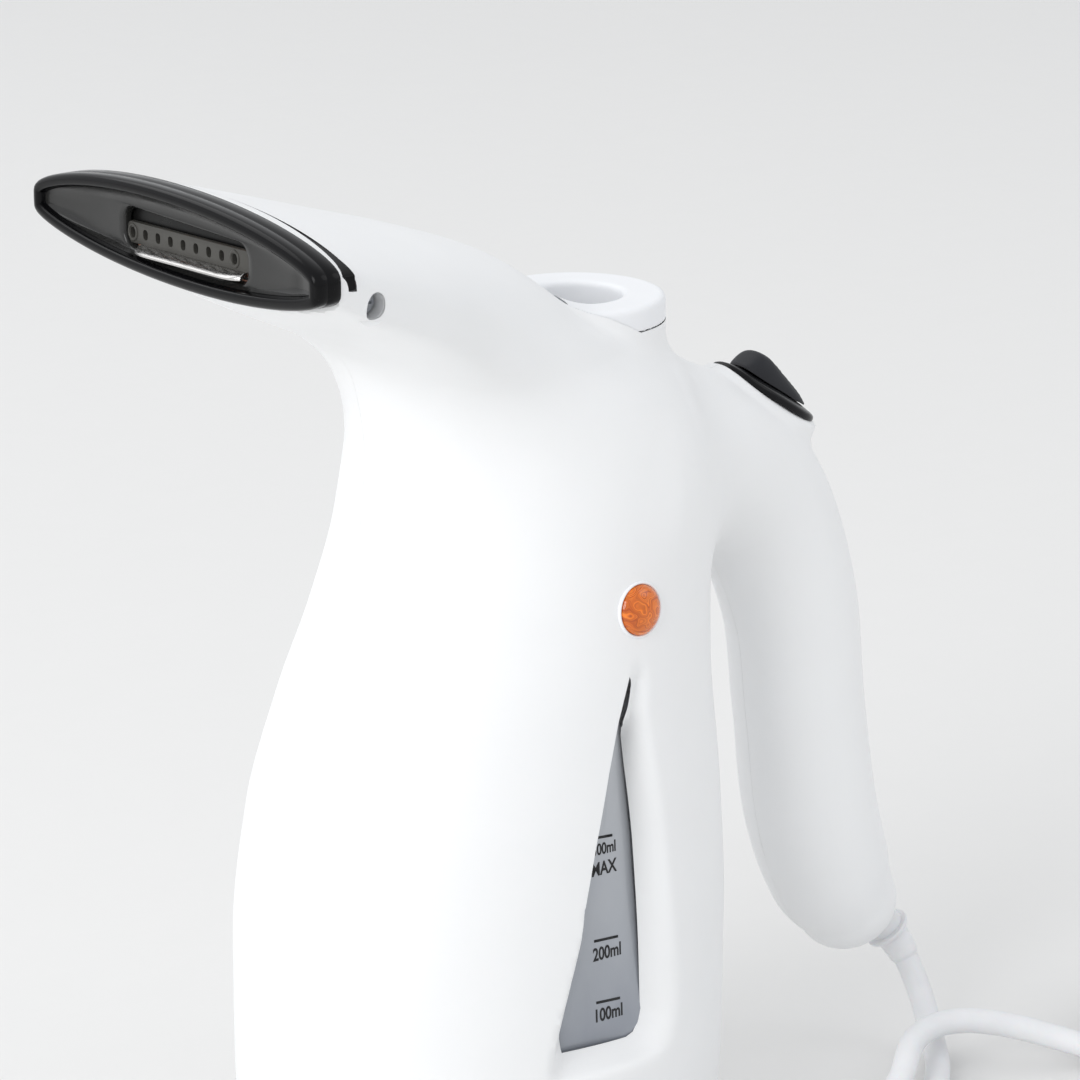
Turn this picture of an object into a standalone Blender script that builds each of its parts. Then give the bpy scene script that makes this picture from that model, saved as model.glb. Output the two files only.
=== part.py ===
"""Handheld garment steamer, modelled as an assembly of separate pieces.

The nozzle points along -X, the handle is on the +X side, the user's left is -Y and Z is up.
Tables are in millimetres, and new_mesh turns them into metres.
"""

import math

import bmesh
import bpy
import numpy as np
from mathutils import Matrix, Vector

MM = 0.001
WALL = 2.0
GAP = 0.3
SEAM = 0.15

# Body sections: height, centre x, half length, half width, roundness exponent.
BODY = np.array(
    [
        (2.5, -21.0, 55.2, 43.6, 2.25),
        (30.0, -21.5, 57.3, 45.3, 2.25),
        (60.0, -21.3, 57.5, 45.2, 2.25),
        (90.0, -20.0, 55.3, 43.8, 2.2),
        (115.0, -17.0, 50.5, 41.0, 2.15),
        (135.0, -12.7, 46.5, 38.5, 2.1),
        (155.0, -9.8, 43.3, 36.0, 2.05),
        (170.0, -9.2, 42.3, 33.0, 2.0),
        (182.0, -12.0, 40.5, 28.5, 2.0),
        (190.0, -17.0, 36.0, 23.0, 2.0),
    ]
)
# Spout sections: x, side height, rise above it, drop below it, half width, exponent, boat shape.
SPOUT = np.array(
    [
        (-95.7, 224.4, 11.3, 9.6, 52.8, 4.6, 0.45),
        (-85.0, 221.5, 12.1, 12.0, 50.2, 4.2, 0.42),
        (-72.0, 216.6, 13.4, 13.2, 46.0, 3.6, 0.36),
        (-59.0, 211.3, 14.9, 14.5, 41.5, 3.2, 0.3),
        (-40.0, 203.0, 17.6, 20.0, 35.0, 2.6, 0.15),
        (-20.0, 191.0, 20.5, 25.0, 31.5, 2.2, 0.05),
        (0.0, 176.0, 20.0, 26.0, 30.0, 2.0, 0.0),
        (10.0, 168.0, 19.0, 24.0, 27.0, 2.0, 0.0),
    ]
)
# Handle axis: x, z, half thickness across the axis, half width.
HANDLE = np.array(
    [
        (8.0, 158.0, 24.0, 27.0),
        (34.0, 158.0, 21.0, 22.0),
        (47.0, 151.5, 18.8, 18.5),
        (57.0, 141.5, 17.4, 16.8),
        (66.5, 120.0, 16.3, 15.5),
        (71.0, 92.0, 15.8, 15.3),
        (75.0, 66.0, 16.0, 15.6),
        (81.0, 49.0, 15.2, 14.7),
        (86.5, 39.5, 13.4, 13.2),
        (90.5, 33.5, 10.0, 10.2),
        (93.0, 30.0, 5.0, 5.2),
    ]
)
COLLAR_X = 5.0
COLLAR_TOP = 200.0
COLLAR_LIP_R = 20.0
COLLAR_NECK_R = 18.8
COLLAR_BORE_R = 10.5
NOZZLE_FRONT = -102.0
NOZZLE_Z = 225.0
# The screw in the side of the spout.
SCREW_X = -81.9
SCREW_Z = 219.2

# The switch sits on a sloping pedestal: its middle, and its slope below the horizontal.
SWITCH_X = 59.0
SWITCH_Z = 169.0
SWITCH_SLOPE = math.radians(33.0)

# The cord leaves the handle here, along this slope below the horizontal.
EXIT_X = 99.4
EXIT_Z = 28.9
EXIT_SLOPE = math.radians(46.7)
CORD_R = 3.0

LAMP = (-5.8, 138.4)
HEATER_X = -21.0
TANK_BOTTOM = 36.0
TANK_TOP = 126.0
PIPE_X = -34.0

# The window's outline in x and z: at the outside of the shell, and at the pane.
WINDOW_OUTER = ((-9.5, 127.0), (-4.5, 127.0), (-2.2, 112.0), (1.0, 70.0), (3.6, 40.0), (-1.0, 36.5), (-28.5, 38.0), (-29.6, 45.0), (-17.5, 104.6))
WINDOW_INNER = ((-9.5, 122.5), (-8.2, 122.5), (-8.0, 104.0), (-6.8, 65.0), (-5.5, 43.5), (-8.5, 40.8), (-28.2, 41.0), (-28.8, 46.0), (-17.0, 104.0))
# The pane leans with the shell: its y at the height PANE_FOOT, and its slope.
PANE_Y = -39.6
PANE_FOOT = 42.0
PANE_LEAN = 0.05

FEET = ((-58.0, -22.0), (-58.0, 22.0), (16.0, -22.0), (16.0, 22.0))
BOSS_Y = 37.6

# The cord leaves the handle, makes one loose loop on the floor, passes over itself and goes on to the coil.
# These points pull a smooth curve that passes near them.
CORD_ROUTE = (
    (82.3, 0.0, 47.1),
    (87.6, 0.0, 41.5),
    (93.0, 0.0, 35.8),
    (98.2, 0.0, 30.2),
    (102.2, -2.8, 23.9),
    (103.7, -6.0, 17.5),
    (103.3, -10.9, 10.8),
    (100.0, -17.9, 5.0),
    (95.4, -24.8, 3.0),
    (93.5, -27.7, 3.0),
    (82.8, -38.7, 3.0),
    (67.5, -55.4, 3.0),
    (66.5, -70.7, 3.1),
    (57.3, -87.3, 3.1),
    (42.9, -94.3, 3.1),
    (27.8, -93.8, 3.1),
    (15.3, -85.4, 3.1),
    (8.6, -71.6, 3.1),
    (10.7, -55.8, 3.1),
    (20.7, -42.7, 3.0),
    (38.3, -37.0, 3.0),
    (59.6, -42.8, 3.0),
    (73.4, -38.8, 8.8),
    (80.8, -30.1, 12.5),
    (94.4, -25.2, 13.1),
    (106.8, -27.0, 11.1),
    (116.9, -33.8, 8.4),
    (127.8, -45.6, 4.4),
)
# The length of the route that lies inside the handle.
CORD_INSIDE = 25.0
COIL_CENTRE = (168.0, -56.0)
COIL_R = 30.0
COIL_HALF_WIDTH = 9.0
COIL_HEIGHT = 17.2
PLUG_CENTRE = (140.0, -68.0)
PLUG_Z = 26.5


def clear_scene():
    for obj in list(bpy.data.objects):
        bpy.data.objects.remove(obj, do_unlink=True)


def new_mesh(name, verts, faces):
    mesh = bpy.data.meshes.new(name)
    mesh.from_pydata((np.asarray(verts, float) * MM).tolist(), [], [list(face) for face in faces])
    shape = bmesh.new()
    shape.from_mesh(mesh)
    bmesh.ops.recalc_face_normals(shape, faces=shape.faces)
    shape.to_mesh(mesh)
    shape.free()
    obj = bpy.data.objects.new(name, mesh)
    bpy.context.scene.collection.objects.link(obj)
    return obj


def loft(name, rings):
    """A closed solid through rings of points, each with the same number of points."""
    count = len(rings[0])
    faces = [range(count), range((len(rings) - 1) * count, len(rings) * count)]
    for row in range(len(rings) - 1):
        for k in range(count):
            a = row * count + k
            b = row * count + (k + 1) % count
            faces.append((a, b, b + count, a + count))
    return new_mesh(name, np.concatenate(rings), faces)


def turned(name, profile, centre=(0.0, 0.0), steps=32):
    """A ring or disc turned about a vertical axis, from a closed profile of (radius, height)."""
    profile = list(profile)
    on_axis = [k for k, point in enumerate(profile) if point[0] < 1e-6]
    verts = []
    faces = []
    if on_axis:
        # A solid disc: the profile runs from the axis at one end to the axis at the other.
        verts = [(centre[0], centre[1], profile[0][1]), (centre[0], centre[1], profile[-1][1])]
        rim = profile[1:-1]
    else:
        rim = profile
    first = len(verts)
    count = len(rim)
    for step in range(steps):
        angle = 2.0 * math.pi * step / steps
        for radius, height in rim:
            verts.append((centre[0] + radius * math.cos(angle), centre[1] + radius * math.sin(angle), height))
    for step in range(steps):
        here = first + step * count
        there = first + (step + 1) % steps * count
        for k in range(count - (1 if on_axis else 0)):
            faces.append((here + k, here + (k + 1) % count, there + (k + 1) % count, there + k))
        if on_axis:
            faces.append((0, here, there))
            faces.append((1, there + count - 1, here + count - 1))
    return new_mesh(name, verts, faces)


def box(name, low, high):
    corners = [(x, y, z) for x in (low[0], high[0]) for y in (low[1], high[1]) for z in (low[2], high[2])]
    faces = [(0, 1, 3, 2), (4, 5, 7, 6), (0, 1, 5, 4), (2, 3, 7, 6), (0, 2, 6, 4), (1, 3, 7, 5)]
    return new_mesh(name, corners, faces)


def rod(name, start, end, radius, end_radius=None, steps=24):
    """A round bar or cone between two points."""
    start = Vector(start)
    end = Vector(end)
    along = (end - start).normalized()
    side = along.orthogonal().normalized()
    other = along.cross(side)
    rings = []
    for centre, r in ((start, radius), (end, radius if end_radius is None else end_radius)):
        angles = np.linspace(0.0, 2.0 * math.pi, steps, endpoint=False)
        rings.append(np.array([centre + side * r * math.cos(a) + other * r * math.sin(a) for a in angles]))
    return loft(name, rings)


def tube(name, points, radius, sides=2):
    """A round cable through a row of close points."""
    curve = bpy.data.curves.new(name, "CURVE")
    curve.dimensions = "3D"
    curve.bevel_depth = radius * MM
    curve.bevel_resolution = sides
    curve.use_fill_caps = True
    spline = curve.splines.new("POLY")
    spline.points.add(len(points) - 1)
    for point, target in zip(points, spline.points):
        target.co = (point[0] * MM, point[1] * MM, point[2] * MM, 1.0)
    obj = bpy.data.objects.new(name, curve)
    bpy.context.scene.collection.objects.link(obj)
    return obj


def smooth_path(route, steps):
    """Evenly spaced points on a cubic curve that passes through every point of the route."""
    route = np.asarray(route, float)
    ends = np.vstack([2 * route[0] - route[1], route, 2 * route[-1] - route[-2]])
    dense = []
    for k in range(1, len(ends) - 2):
        t = np.linspace(0.0, 1.0, 24, endpoint=False)[:, None]
        a, b, c, d = ends[k - 1], ends[k], ends[k + 1], ends[k + 2]
        dense.append(
            0.5 * (2 * b + (c - a) * t + (2 * a - 5 * b + 4 * c - d) * t**2 + (3 * b - a - 3 * c + d) * t**3)
        )
    dense = np.vstack([*dense, route[-1:]])
    travelled = np.r_[0.0, np.cumsum(np.linalg.norm(np.diff(dense, axis=0), axis=1))]
    even = np.linspace(0.0, travelled[-1], steps)
    return np.stack([np.interp(even, travelled, dense[:, k]) for k in range(3)], axis=1)


def loose_path(route, steps):
    """Evenly spaced points on the cubic B-spline that the route's points pull."""
    route = np.asarray(route, float)
    ends = np.vstack([2 * route[0] - route[1], route, 2 * route[-1] - route[-2]])
    t = np.linspace(0.0, 1.0, 24, endpoint=False)[:, None]
    a, b, c, d = (1 - t) ** 3, 3 * t**3 - 6 * t**2 + 4, -3 * t**3 + 3 * t**2 + 3 * t + 1, t**3
    dense = [(a * ends[k] + b * ends[k + 1] + c * ends[k + 2] + d * ends[k + 3]) / 6 for k in range(len(ends) - 3)]
    dense = np.vstack([*dense, route[-1:]])
    travelled = np.r_[0.0, np.cumsum(np.linalg.norm(np.diff(dense, axis=0), axis=1))]
    even = np.linspace(0.0, travelled[-1], steps)
    return np.stack([np.interp(even, travelled, dense[:, k]) for k in range(3)], axis=1)


def sleeve(name, points, radii, steps=24):
    """A round solid with its own radius at each point of a path."""
    points = np.asarray(points, float)
    along = np.gradient(points, axis=0)
    along /= np.linalg.norm(along, axis=1)[:, None]
    side = np.cross(along, (0.0, 1.0, 0.0))
    side /= np.linalg.norm(side, axis=1)[:, None]
    other = np.cross(along, side)
    angle = np.linspace(0.0, 2.0 * math.pi, steps, endpoint=False)[:, None]
    rings = [p + r * (np.cos(angle) * s + np.sin(angle) * o) for p, r, s, o in zip(points, radii, side, other)]
    return loft(name, rings)


def along_cord(name, start, end, radius, end_radius=None):
    """A round solid that follows the cord, from and to a distance past the point where it leaves the handle."""
    path = loose_path(CORD_ROUTE, 400)
    travelled = np.r_[0.0, np.cumsum(np.linalg.norm(np.diff(path, axis=0), axis=1))] - CORD_INSIDE
    count = max(3, round((end - start) / 3.0) + 1)
    places = np.linspace(start, end, count)
    points = np.stack([np.interp(places, travelled, path[:, k]) for k in range(3)], axis=1)
    return sleeve(name, points, np.linspace(radius, radius if end_radius is None else end_radius, count))


def baked(obj):
    """Replace the object's mesh by the result of its modifiers."""
    graph = bpy.context.evaluated_depsgraph_get()
    mesh = bpy.data.meshes.new_from_object(obj.evaluated_get(graph))
    obj.modifiers.clear()
    obj.data = mesh
    return obj


def as_mesh(curve, name):
    """A mesh object from a cable, so that Booleans can use it."""
    graph = bpy.context.evaluated_depsgraph_get()
    mesh = bpy.data.meshes.new_from_object(curve.evaluated_get(graph))
    bpy.data.objects.remove(curve, do_unlink=True)
    obj = bpy.data.objects.new(name, mesh)
    bpy.context.scene.collection.objects.link(obj)
    return obj


def combine(target, operation, *others):
    """Apply exact Booleans with the other solids, which are used up."""
    for other in others:
        modifier = target.modifiers.new(operation.title(), "BOOLEAN")
        modifier.operation = operation
        modifier.solver = "EXACT"
        modifier.object = other
        baked(target)
        bpy.data.objects.remove(other, do_unlink=True)
    return target


def cut(target, *others):
    return combine(target, "DIFFERENCE", *others)


def join(target, *others):
    return combine(target, "UNION", *others)


def copy_of(obj, name):
    twin = obj.copy()
    twin.data = obj.data.copy()
    twin.name = name
    bpy.context.scene.collection.objects.link(twin)
    return twin


def superellipse(half_a, half_b, power, count):
    angle = np.linspace(0.0, 2.0 * math.pi, count, endpoint=False)
    a = half_a * np.sign(np.cos(angle)) * np.abs(np.cos(angle)) ** (2.0 / power)
    b = half_b * np.sign(np.sin(angle)) * np.abs(np.sin(angle)) ** (2.0 / power)
    return a, b


def body_row(height):
    return [np.interp(height, BODY[:, 0], BODY[:, k]) for k in range(1, 5)]


def body_ring(height, front, rear, side, count=32):
    """The body's outline at one height, moved inwards by a distance at front, rear and sides."""
    centre, half_x, half_y, power = body_row(height)
    x, y = superellipse(half_x - 0.5 * (front + rear), half_y - side, power, count)
    return np.stack([centre + 0.5 * (front - rear) + x, y, np.full(count, height)], axis=1)


def body_solid(name, inset, low, high, count=32):
    heights = [low, *[h for h in BODY[:, 0] if low + 1.0 < h < high - 1.0], high]
    return loft(name, [body_ring(h, inset, inset, inset, count) for h in heights])


def spout_ring(x, inset, count=28):
    side, rise, drop, half_width, power, boat = [np.interp(x, SPOUT[:, 0], SPOUT[:, k]) for k in range(1, 7)]
    y, z = superellipse(half_width - inset, 1.0, power, count)
    height = np.where(z > 0.0, rise - inset, drop - inset) * (1.0 - boat * (y / half_width) ** 2)
    return np.stack([np.full(count, x), y, side + z * height], axis=1)


def spout_solid(name, inset, front, rear=None, count=28):
    rear = SPOUT[-1, 0] if rear is None else rear
    places = [front, *[x for x in SPOUT[:, 0] if front + 1.0 < x < rear - 1.0], rear]
    return loft(name, [spout_ring(x, inset, count) for x in places])


def handle_solid(name, inset, count=20):
    rows = HANDLE if inset <= 0.0 else HANDLE[:-1]
    along = np.gradient(rows[:, :2], axis=0)
    along /= np.linalg.norm(along, axis=1)[:, None]
    across = np.stack([-along[:, 1], along[:, 0]], axis=1)
    rings = []
    for row, side in zip(rows, across):
        thick, width = superellipse(row[2] - inset, row[3] - inset, 2.0, count)
        rings.append(np.stack([row[0] + side[0] * thick, width, row[1] + side[1] * thick], axis=1))
    return loft(name, rings)


def switch_point(u, y, w):
    """A point in the switch's own axes: u backwards down the slope, w out of the handle."""
    cos, sin = math.cos(SWITCH_SLOPE), math.sin(SWITCH_SLOPE)
    return (SWITCH_X + u * cos + w * sin, y, SWITCH_Z - u * sin + w * cos)


def switch_box(name, low, high):
    obj = box(name, low, high)
    return to_switch(obj)


def to_switch(obj):
    """Turn a solid drawn in the switch's own axes into place."""
    for vertex in obj.data.vertices:
        u, y, w = vertex.co / MM
        vertex.co = Vector(switch_point(u, y, w)) * MM
    return obj


def oval(name, half_u, half_y, low, high, count=28, power=2.4):
    u, y = superellipse(half_u, half_y, power, count)
    rings = [np.stack([u, y, np.full(count, w)], axis=1) for w in (low, high)]
    return loft(name, rings)


def exit_point(distance):
    return (EXIT_X + distance * math.cos(EXIT_SLOPE), 0.0, EXIT_Z - distance * math.sin(EXIT_SLOPE))


def nozzle_prism(name, inset, front, back, count=40):
    """A prism along X with the spout's end outline."""
    ring = spout_ring(SPOUT[0, 0], inset, count)
    rings = [np.column_stack([np.full(count, x), ring[:, 1:]]) for x in (front, back)]
    return loft(name, rings)


def slot_outline(half_y, half_z, radius, corner_steps=5):
    points = []
    for sign_y, sign_z, start in ((1, 1, 0.0), (-1, 1, 90.0), (-1, -1, 180.0), (1, -1, 270.0)):
        for angle in np.radians(np.linspace(start, start + 90.0, corner_steps)):
            points.append(
                (sign_y * (half_y - radius) + radius * math.cos(angle), sign_z * (half_z - radius) + radius * math.sin(angle))
            )
    return points


def nozzle_block(name, half_y, half_z, radius, front, back, shift_z=0.0):
    """A rounded rectangular block along X at the middle of the nozzle."""
    outline = slot_outline(half_y, half_z, radius)
    rings = [np.array([(x, y, NOZZLE_Z + shift_z + z) for y, z in outline]) for x in (front, back)]
    return loft(name, rings)


# ---------------------------------------------------------------- enclosure


def pane_y(height):
    return PANE_Y + PANE_LEAN * (height - PANE_FOOT)


def grown(outline, distance):
    """The outline with every corner moved away from its middle."""
    points = np.array(outline)
    offset = points - points.mean(axis=0)
    length = np.linalg.norm(offset, axis=1)[:, None]
    return points + offset * distance / length


def window_solid(name, grow, depth):
    """The window's tapering tunnel, down to a depth behind the pane's front."""
    outer = grown(WINDOW_OUTER, grow)
    inner = grown(WINDOW_INNER, grow)
    rings = [np.array([(x, -50.0, z) for x, z in outer]), np.array([(x, -45.4 + 0.06 * (z - 42.0), z) for x, z in outer])]
    rings.append(np.array([(x, pane_y(z), z) for x, z in inner]))
    if depth > 0.0:
        rings.append(np.array([(x, pane_y(z) + depth, z) for x, z in inner]))
    return loft(name, rings)


def pane_block(name, offset, low_x, high_x):
    """Everything in front of the plane that lies a distance behind the pane's front."""
    outline = ((-60.0, 25.0), (pane_y(25.0) + offset, 25.0), (pane_y(145.0) + offset, 145.0), (-60.0, 145.0))
    return loft(name, [np.array([(x, y, z) for y, z in outline]) for x in (low_x, high_x)])


def shell_outside():
    outside = body_solid("outside", 0.0, 2.5, 190.0)
    pedestal = to_switch(oval("pedestal", 16.0, 10.5, -14.0, 0.0))
    return join(
        outside,
        spout_solid("spout", 0.0, SPOUT[0, 0]),
        handle_solid("handle", 0.0),
        pedestal,
    )


def shell_inside():
    inside = body_solid("inside", WALL, 1.0, 186.0)
    pocket = to_switch(oval("pocket", 14.0, 8.5, -13.0, -WALL))
    return join(
        inside,
        spout_solid("spout_inside", WALL, SPOUT[0, 0] - 3.0, 8.0),
        handle_solid("handle_inside", WALL),
        pocket,
    )


def half(name, side):
    if side < 0:
        return box(name, (-120.0, -80.0, -10.0), (130.0, -SEAM, 260.0))
    return box(name, (-120.0, SEAM, -10.0), (130.0, 80.0, 260.0))


def base_boss(side):
    boss = rod("boss", (HEATER_X, side * BOSS_Y, 7.0), (HEATER_X, side * BOSS_Y, 24.0), 4.6, steps=20)
    return boss


def build_shells():
    outside = shell_outside()
    inside = shell_inside()
    cut(outside, inside)
    cut(
        outside,
        rod("collar_hole", (COLLAR_X, 0, 174.0), (COLLAR_X, 0, 206.0), COLLAR_NECK_R + GAP, steps=40),
        rod("lip_recess", (COLLAR_X, 0, 194.5), (COLLAR_X, 0, 216.0), COLLAR_LIP_R + GAP, steps=40),
        along_cord("exit_hole", -14.0, 14.0, 4.6),
        switch_box("switch_slot", (-7.4, -2.5, -4.0), (2.9, 2.5, 3.0)),
    )
    right = copy_of(outside, "right_shell")
    left = outside
    left.name = "left_shell"
    combine(left, "INTERSECT", half("left_half", -1))
    combine(right, "INTERSECT", half("right_half", 1))
    tunnel = window_solid("tunnel", 2.0, 0.0)
    combine(tunnel, "INTERSECT", body_solid("trim", 0.7, 20.0, 150.0))
    join(left, tunnel)
    cut(
        left,
        window_solid("window", 0.0, 6.0),
        rod("lamp_hole", (LAMP[0], -46.0, LAMP[1]), (LAMP[0], -30.0, LAMP[1]), 5.7),
        rod("screw_mouth", (SCREW_X, -56.0, SCREW_Z), (SCREW_X, -45.6, SCREW_Z), 2.9, steps=20),
    )
    for shell, side in ((left, -1), (right, 1)):
        join(shell, base_boss(side))
        cut(shell, rod("bore", (HEATER_X, side * BOSS_Y, 6.0), (HEATER_X, side * BOSS_Y, 20.0), 1.6, steps=10))
    return left, right


def build_collar():
    outer = [
        (COLLAR_BORE_R, 166.0),
        (11.9, 166.0),
        (11.9, 176.0),
        (COLLAR_NECK_R, 179.0),
        (COLLAR_NECK_R, 194.8),
        (COLLAR_LIP_R - 0.6, 194.8),
        (COLLAR_LIP_R, 195.4),
        (COLLAR_LIP_R, 198.6),
        (COLLAR_LIP_R - 1.4, COLLAR_TOP),
        (COLLAR_BORE_R + 1.2, COLLAR_TOP),
        (COLLAR_BORE_R, 198.8),
    ]
    turned("filler_collar", outer, (COLLAR_X, 0.0), 36)
    neck = [(12.2, 134.0), (12.2, 173.0), (14.0, 173.0), (14.0, 134.0)]
    turned("filler_tube", neck, (COLLAR_X, 0.0), 28)
    seal = [(12.2, 173.3), (12.2, 175.7), (15.0, 175.7), (15.0, 173.3)]
    turned("filler_seal", seal, (COLLAR_X, 0.0), 28)


def build_base():
    cover = body_solid("base_cover", 0.9, 1.0, 2.2)
    tray = loft("tray", [body_ring(2.5, 2.5, 2.5, 2.5) + (0, 0, dz) for dz in (-0.4, 3.9)])
    join(cover, tray)
    pocket = loft("pocket", [body_ring(2.5, 6.0, 6.0, 6.0) + (0, 0, dz) for dz in (1.1, 6.0)])
    cut(cover, pocket)
    for x, y in FEET:
        cut(cover, rod("recess", (x, y, 0.0), (x, y, 1.9), 5.5, steps=16))
    for side in (-1, 1):
        y = side * BOSS_Y
        cut(cover, rod("counterbore", (HEATER_X, y, 0.0), (HEATER_X, y, 3.2), 3.3, steps=14))
        cut(cover, rod("clearance", (HEATER_X, y, 2.0), (HEATER_X, y, 8.0), 1.7, steps=10))
        name = "base_screw_left" if side < 0 else "base_screw_right"
        screw = rod(name, (HEATER_X, y, 1.4), (HEATER_X, y, 2.9), 3.0, steps=20)
        join(screw, rod("shank", (HEATER_X, y, 2.4), (HEATER_X, y, 18.0), 1.3, steps=16))
    for number, (x, y) in enumerate(FEET, start=1):
        rod(f"foot_{number}", (x, y, 0.0), (x, y, 1.6), 5.2, 5.0, steps=20)


# ---------------------------------------------------------------- water and heat


def tank_solid(name, inset, low, high):
    """The tank follows the body, with more room at the rear for the wires."""
    heights = [low, *[h for h in BODY[:, 0] if low + 1.0 < h < high - 1.0], high]
    rings = [body_ring(h, 4.2 + inset, 7.4 + inset, 4.4 + inset, 28) for h in heights]
    shoulder = rings[-1].copy()
    centre = shoulder.mean(axis=0)
    rings.append(np.column_stack([centre[:2] + (shoulder[:, :2] - centre[:2]) * 0.86, shoulder[:, 2] + 5.0]))
    return loft(name, rings)


def build_tank():
    tank = tank_solid("water_tank", 0.0, TANK_BOTTOM, TANK_TOP - 5.0)
    cut(tank, pane_block("pad", 2.3, -36.0, 10.0))
    room = tank_solid("room", 1.8, TANK_BOTTOM + 1.8, TANK_TOP - 6.8)
    cut(room, pane_block("pad_inside", 4.1, -38.0, 12.0))
    join(tank, rod("filler_stub", (COLLAR_X, 0, 122.0), (COLLAR_X, 0, 133.7), 14.0, steps=28))
    join(tank, rod("steam_stub", (PIPE_X, 0, 122.0), (PIPE_X, 0, 132.0), 6.5, steps=20))
    cut(
        tank,
        room,
        rod("filler_way", (COLLAR_X, 0, 110.0), (COLLAR_X, 0, 140.0), 12.2, steps=28),
        rod("steam_way", (PIPE_X, 0, 110.0), (PIPE_X, 0, 140.0), 4.5, steps=20),
        rod("heater_way", (HEATER_X, 0, 30.0), (HEATER_X, 0, 40.0), 24.0, steps=32),
    )
    pane = grown(WINDOW_INNER, 2.0)
    rings = [np.array([(x, pane_y(z) + depth, z) for x, z in pane]) for depth in (0.4, 2.0)]
    loft("level_window", rings)


def build_heater():
    cup = [(0.0, 32.6), (28.0, 32.6), (28.0, 34.2), (23.7, 34.2), (23.7, 38.2), (22.0, 38.2), (0.0, 36.4)]
    turned("heater_cup", cup, (HEATER_X, 0.0), 32)
    gasket = [(24.3, 34.5), (28.0, 34.5), (28.0, 35.7), (24.3, 35.7)]
    turned("heater_gasket", gasket, (HEATER_X, 0.0), 32)
    angles = np.linspace(0.0, 2.0 * math.pi, 10, endpoint=False)
    ring = [(17.0 + 3.0 * math.cos(a), 29.2 + 3.0 * math.sin(a)) for a in angles]
    element = turned("heating_element", ring, (HEATER_X, 0.0), 24)
    for y in (-4.0, 4.0):
        join(element, rod("lead", (HEATER_X + 16.5, y, 28.5), (HEATER_X + 16.5, y, 20.0), 1.4, steps=12))
    clamp = [(20.6, 30.4), (30.0, 30.4), (30.0, 32.2), (20.6, 32.2)]
    turned("heater_clamp", clamp, (HEATER_X, 0.0), 32)
    disc = [(0.0, 24.0), (7.0, 24.0), (8.5, 26.0), (11.0, 26.0), (11.0, 32.2), (0.0, 32.2)]
    turned("thermostat", disc, (HEATER_X, 0.0), 28)
    rod("thermal_fuse", (HEATER_X, -8.0, 20.8), (HEATER_X, 8.0, 20.8), 2.4, steps=16)
    block = box("terminal_block", (6.0, -12.0, 6.8), (19.0, 12.0, 18.5))
    for y in (-6.0, 6.0):
        cut(block, rod("terminal", (12.5, y, 12.0), (12.5, y, 22.0), 2.2, steps=14))


def build_steam_path():
    route = (
        (PIPE_X, 0, 125.0),
        (PIPE_X, 0, 150.0),
        (-34.5, 0, 172.0),
        (-36.6, 0, 186.0),
        (-44.5, 0, 200.0),
        (-57.0, 0, 210.5),
        (-67.0, 0, 216.3),
        (-74.0, 0, 217.0),
        (-82.0, 0, 217.0),
    )
    pipe = as_mesh(tube("pipe_curve", smooth_path(route, 18), 4.2), "steam_pipe")
    bore = as_mesh(tube("bore_curve", smooth_path(((PIPE_X, 0, 120.0), *route, (-88.0, 0, 217.0)), 21), 2.8, 1), "pipe_bore")
    cut(pipe, bore)

    def horn(name, grow, front, back):
        rows = ((front, 24.6, 5.4, NOZZLE_Z), (-87.5, 18.0, 6.2, 222.0), (-82.5, 7.6, 6.6, 217.4), (back, 5.7, 5.7, 217.0))
        rings = []
        for x, half_y, half_z, z in rows:
            y, up = superellipse(half_y + grow, half_z + grow, 2.0, 24)
            rings.append(np.stack([np.full(24, x), y, z + up], axis=1))
        return loft(name, rings)

    cut(horn("steam_manifold", 0.0, -91.6, -75.0), horn("horn_inside", -1.2, -92.6, -74.0))


# ---------------------------------------------------------------- nozzle


def build_nozzle():
    bezel = nozzle_prism("nozzle_bezel", 0.0, NOZZLE_FRONT, -96.0)
    join(bezel, spout_solid("spigot", WALL + 0.8, -96.6, -91.0, 40))
    cut(
        bezel,
        nozzle_prism("front_opening", 2.6, NOZZLE_FRONT - 1.0, -96.3),
        spout_solid("rear_opening", 4.2, -97.0, -90.0, 40),
    )
    dish = nozzle_prism("nozzle_dish", 2.9, -98.2, -96.6)
    cut(dish, nozzle_block("dish_opening", 23.0, 4.3, 3.0, -100.0, -95.0))
    steam_plate = nozzle_block("steam_plate", 25.0, 5.0, 3.0, -96.2, -95.0)
    for number in range(9):
        y = (number - 4) * 4.6
        cut(steam_plate, box("slot", (-98.0, y - 1.2, NOZZLE_Z - 2.2), (-93.0, y + 1.2, NOZZLE_Z + 1.6)))
    lip = nozzle_block("nozzle_lip", 19.0, 0.5, 0.45, -99.4, -96.5, -3.6)
    seal = nozzle_block("nozzle_seal", 25.0, 5.0, 3.0, -94.7, -92.0)
    cut(seal, nozzle_block("seal_opening", 23.4, 3.9, 2.4, -96.0, -90.0))
    screw = rod("spout_screw", (SCREW_X, -45.2, SCREW_Z), (SCREW_X, -42.9, SCREW_Z), 2.5, steps=18)
    join(screw, rod("shank", (SCREW_X, -43.6, SCREW_Z), (SCREW_X, -34.0, SCREW_Z), 1.2, steps=14))
    return lip, screw


# ---------------------------------------------------------------- switch and lamp


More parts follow.
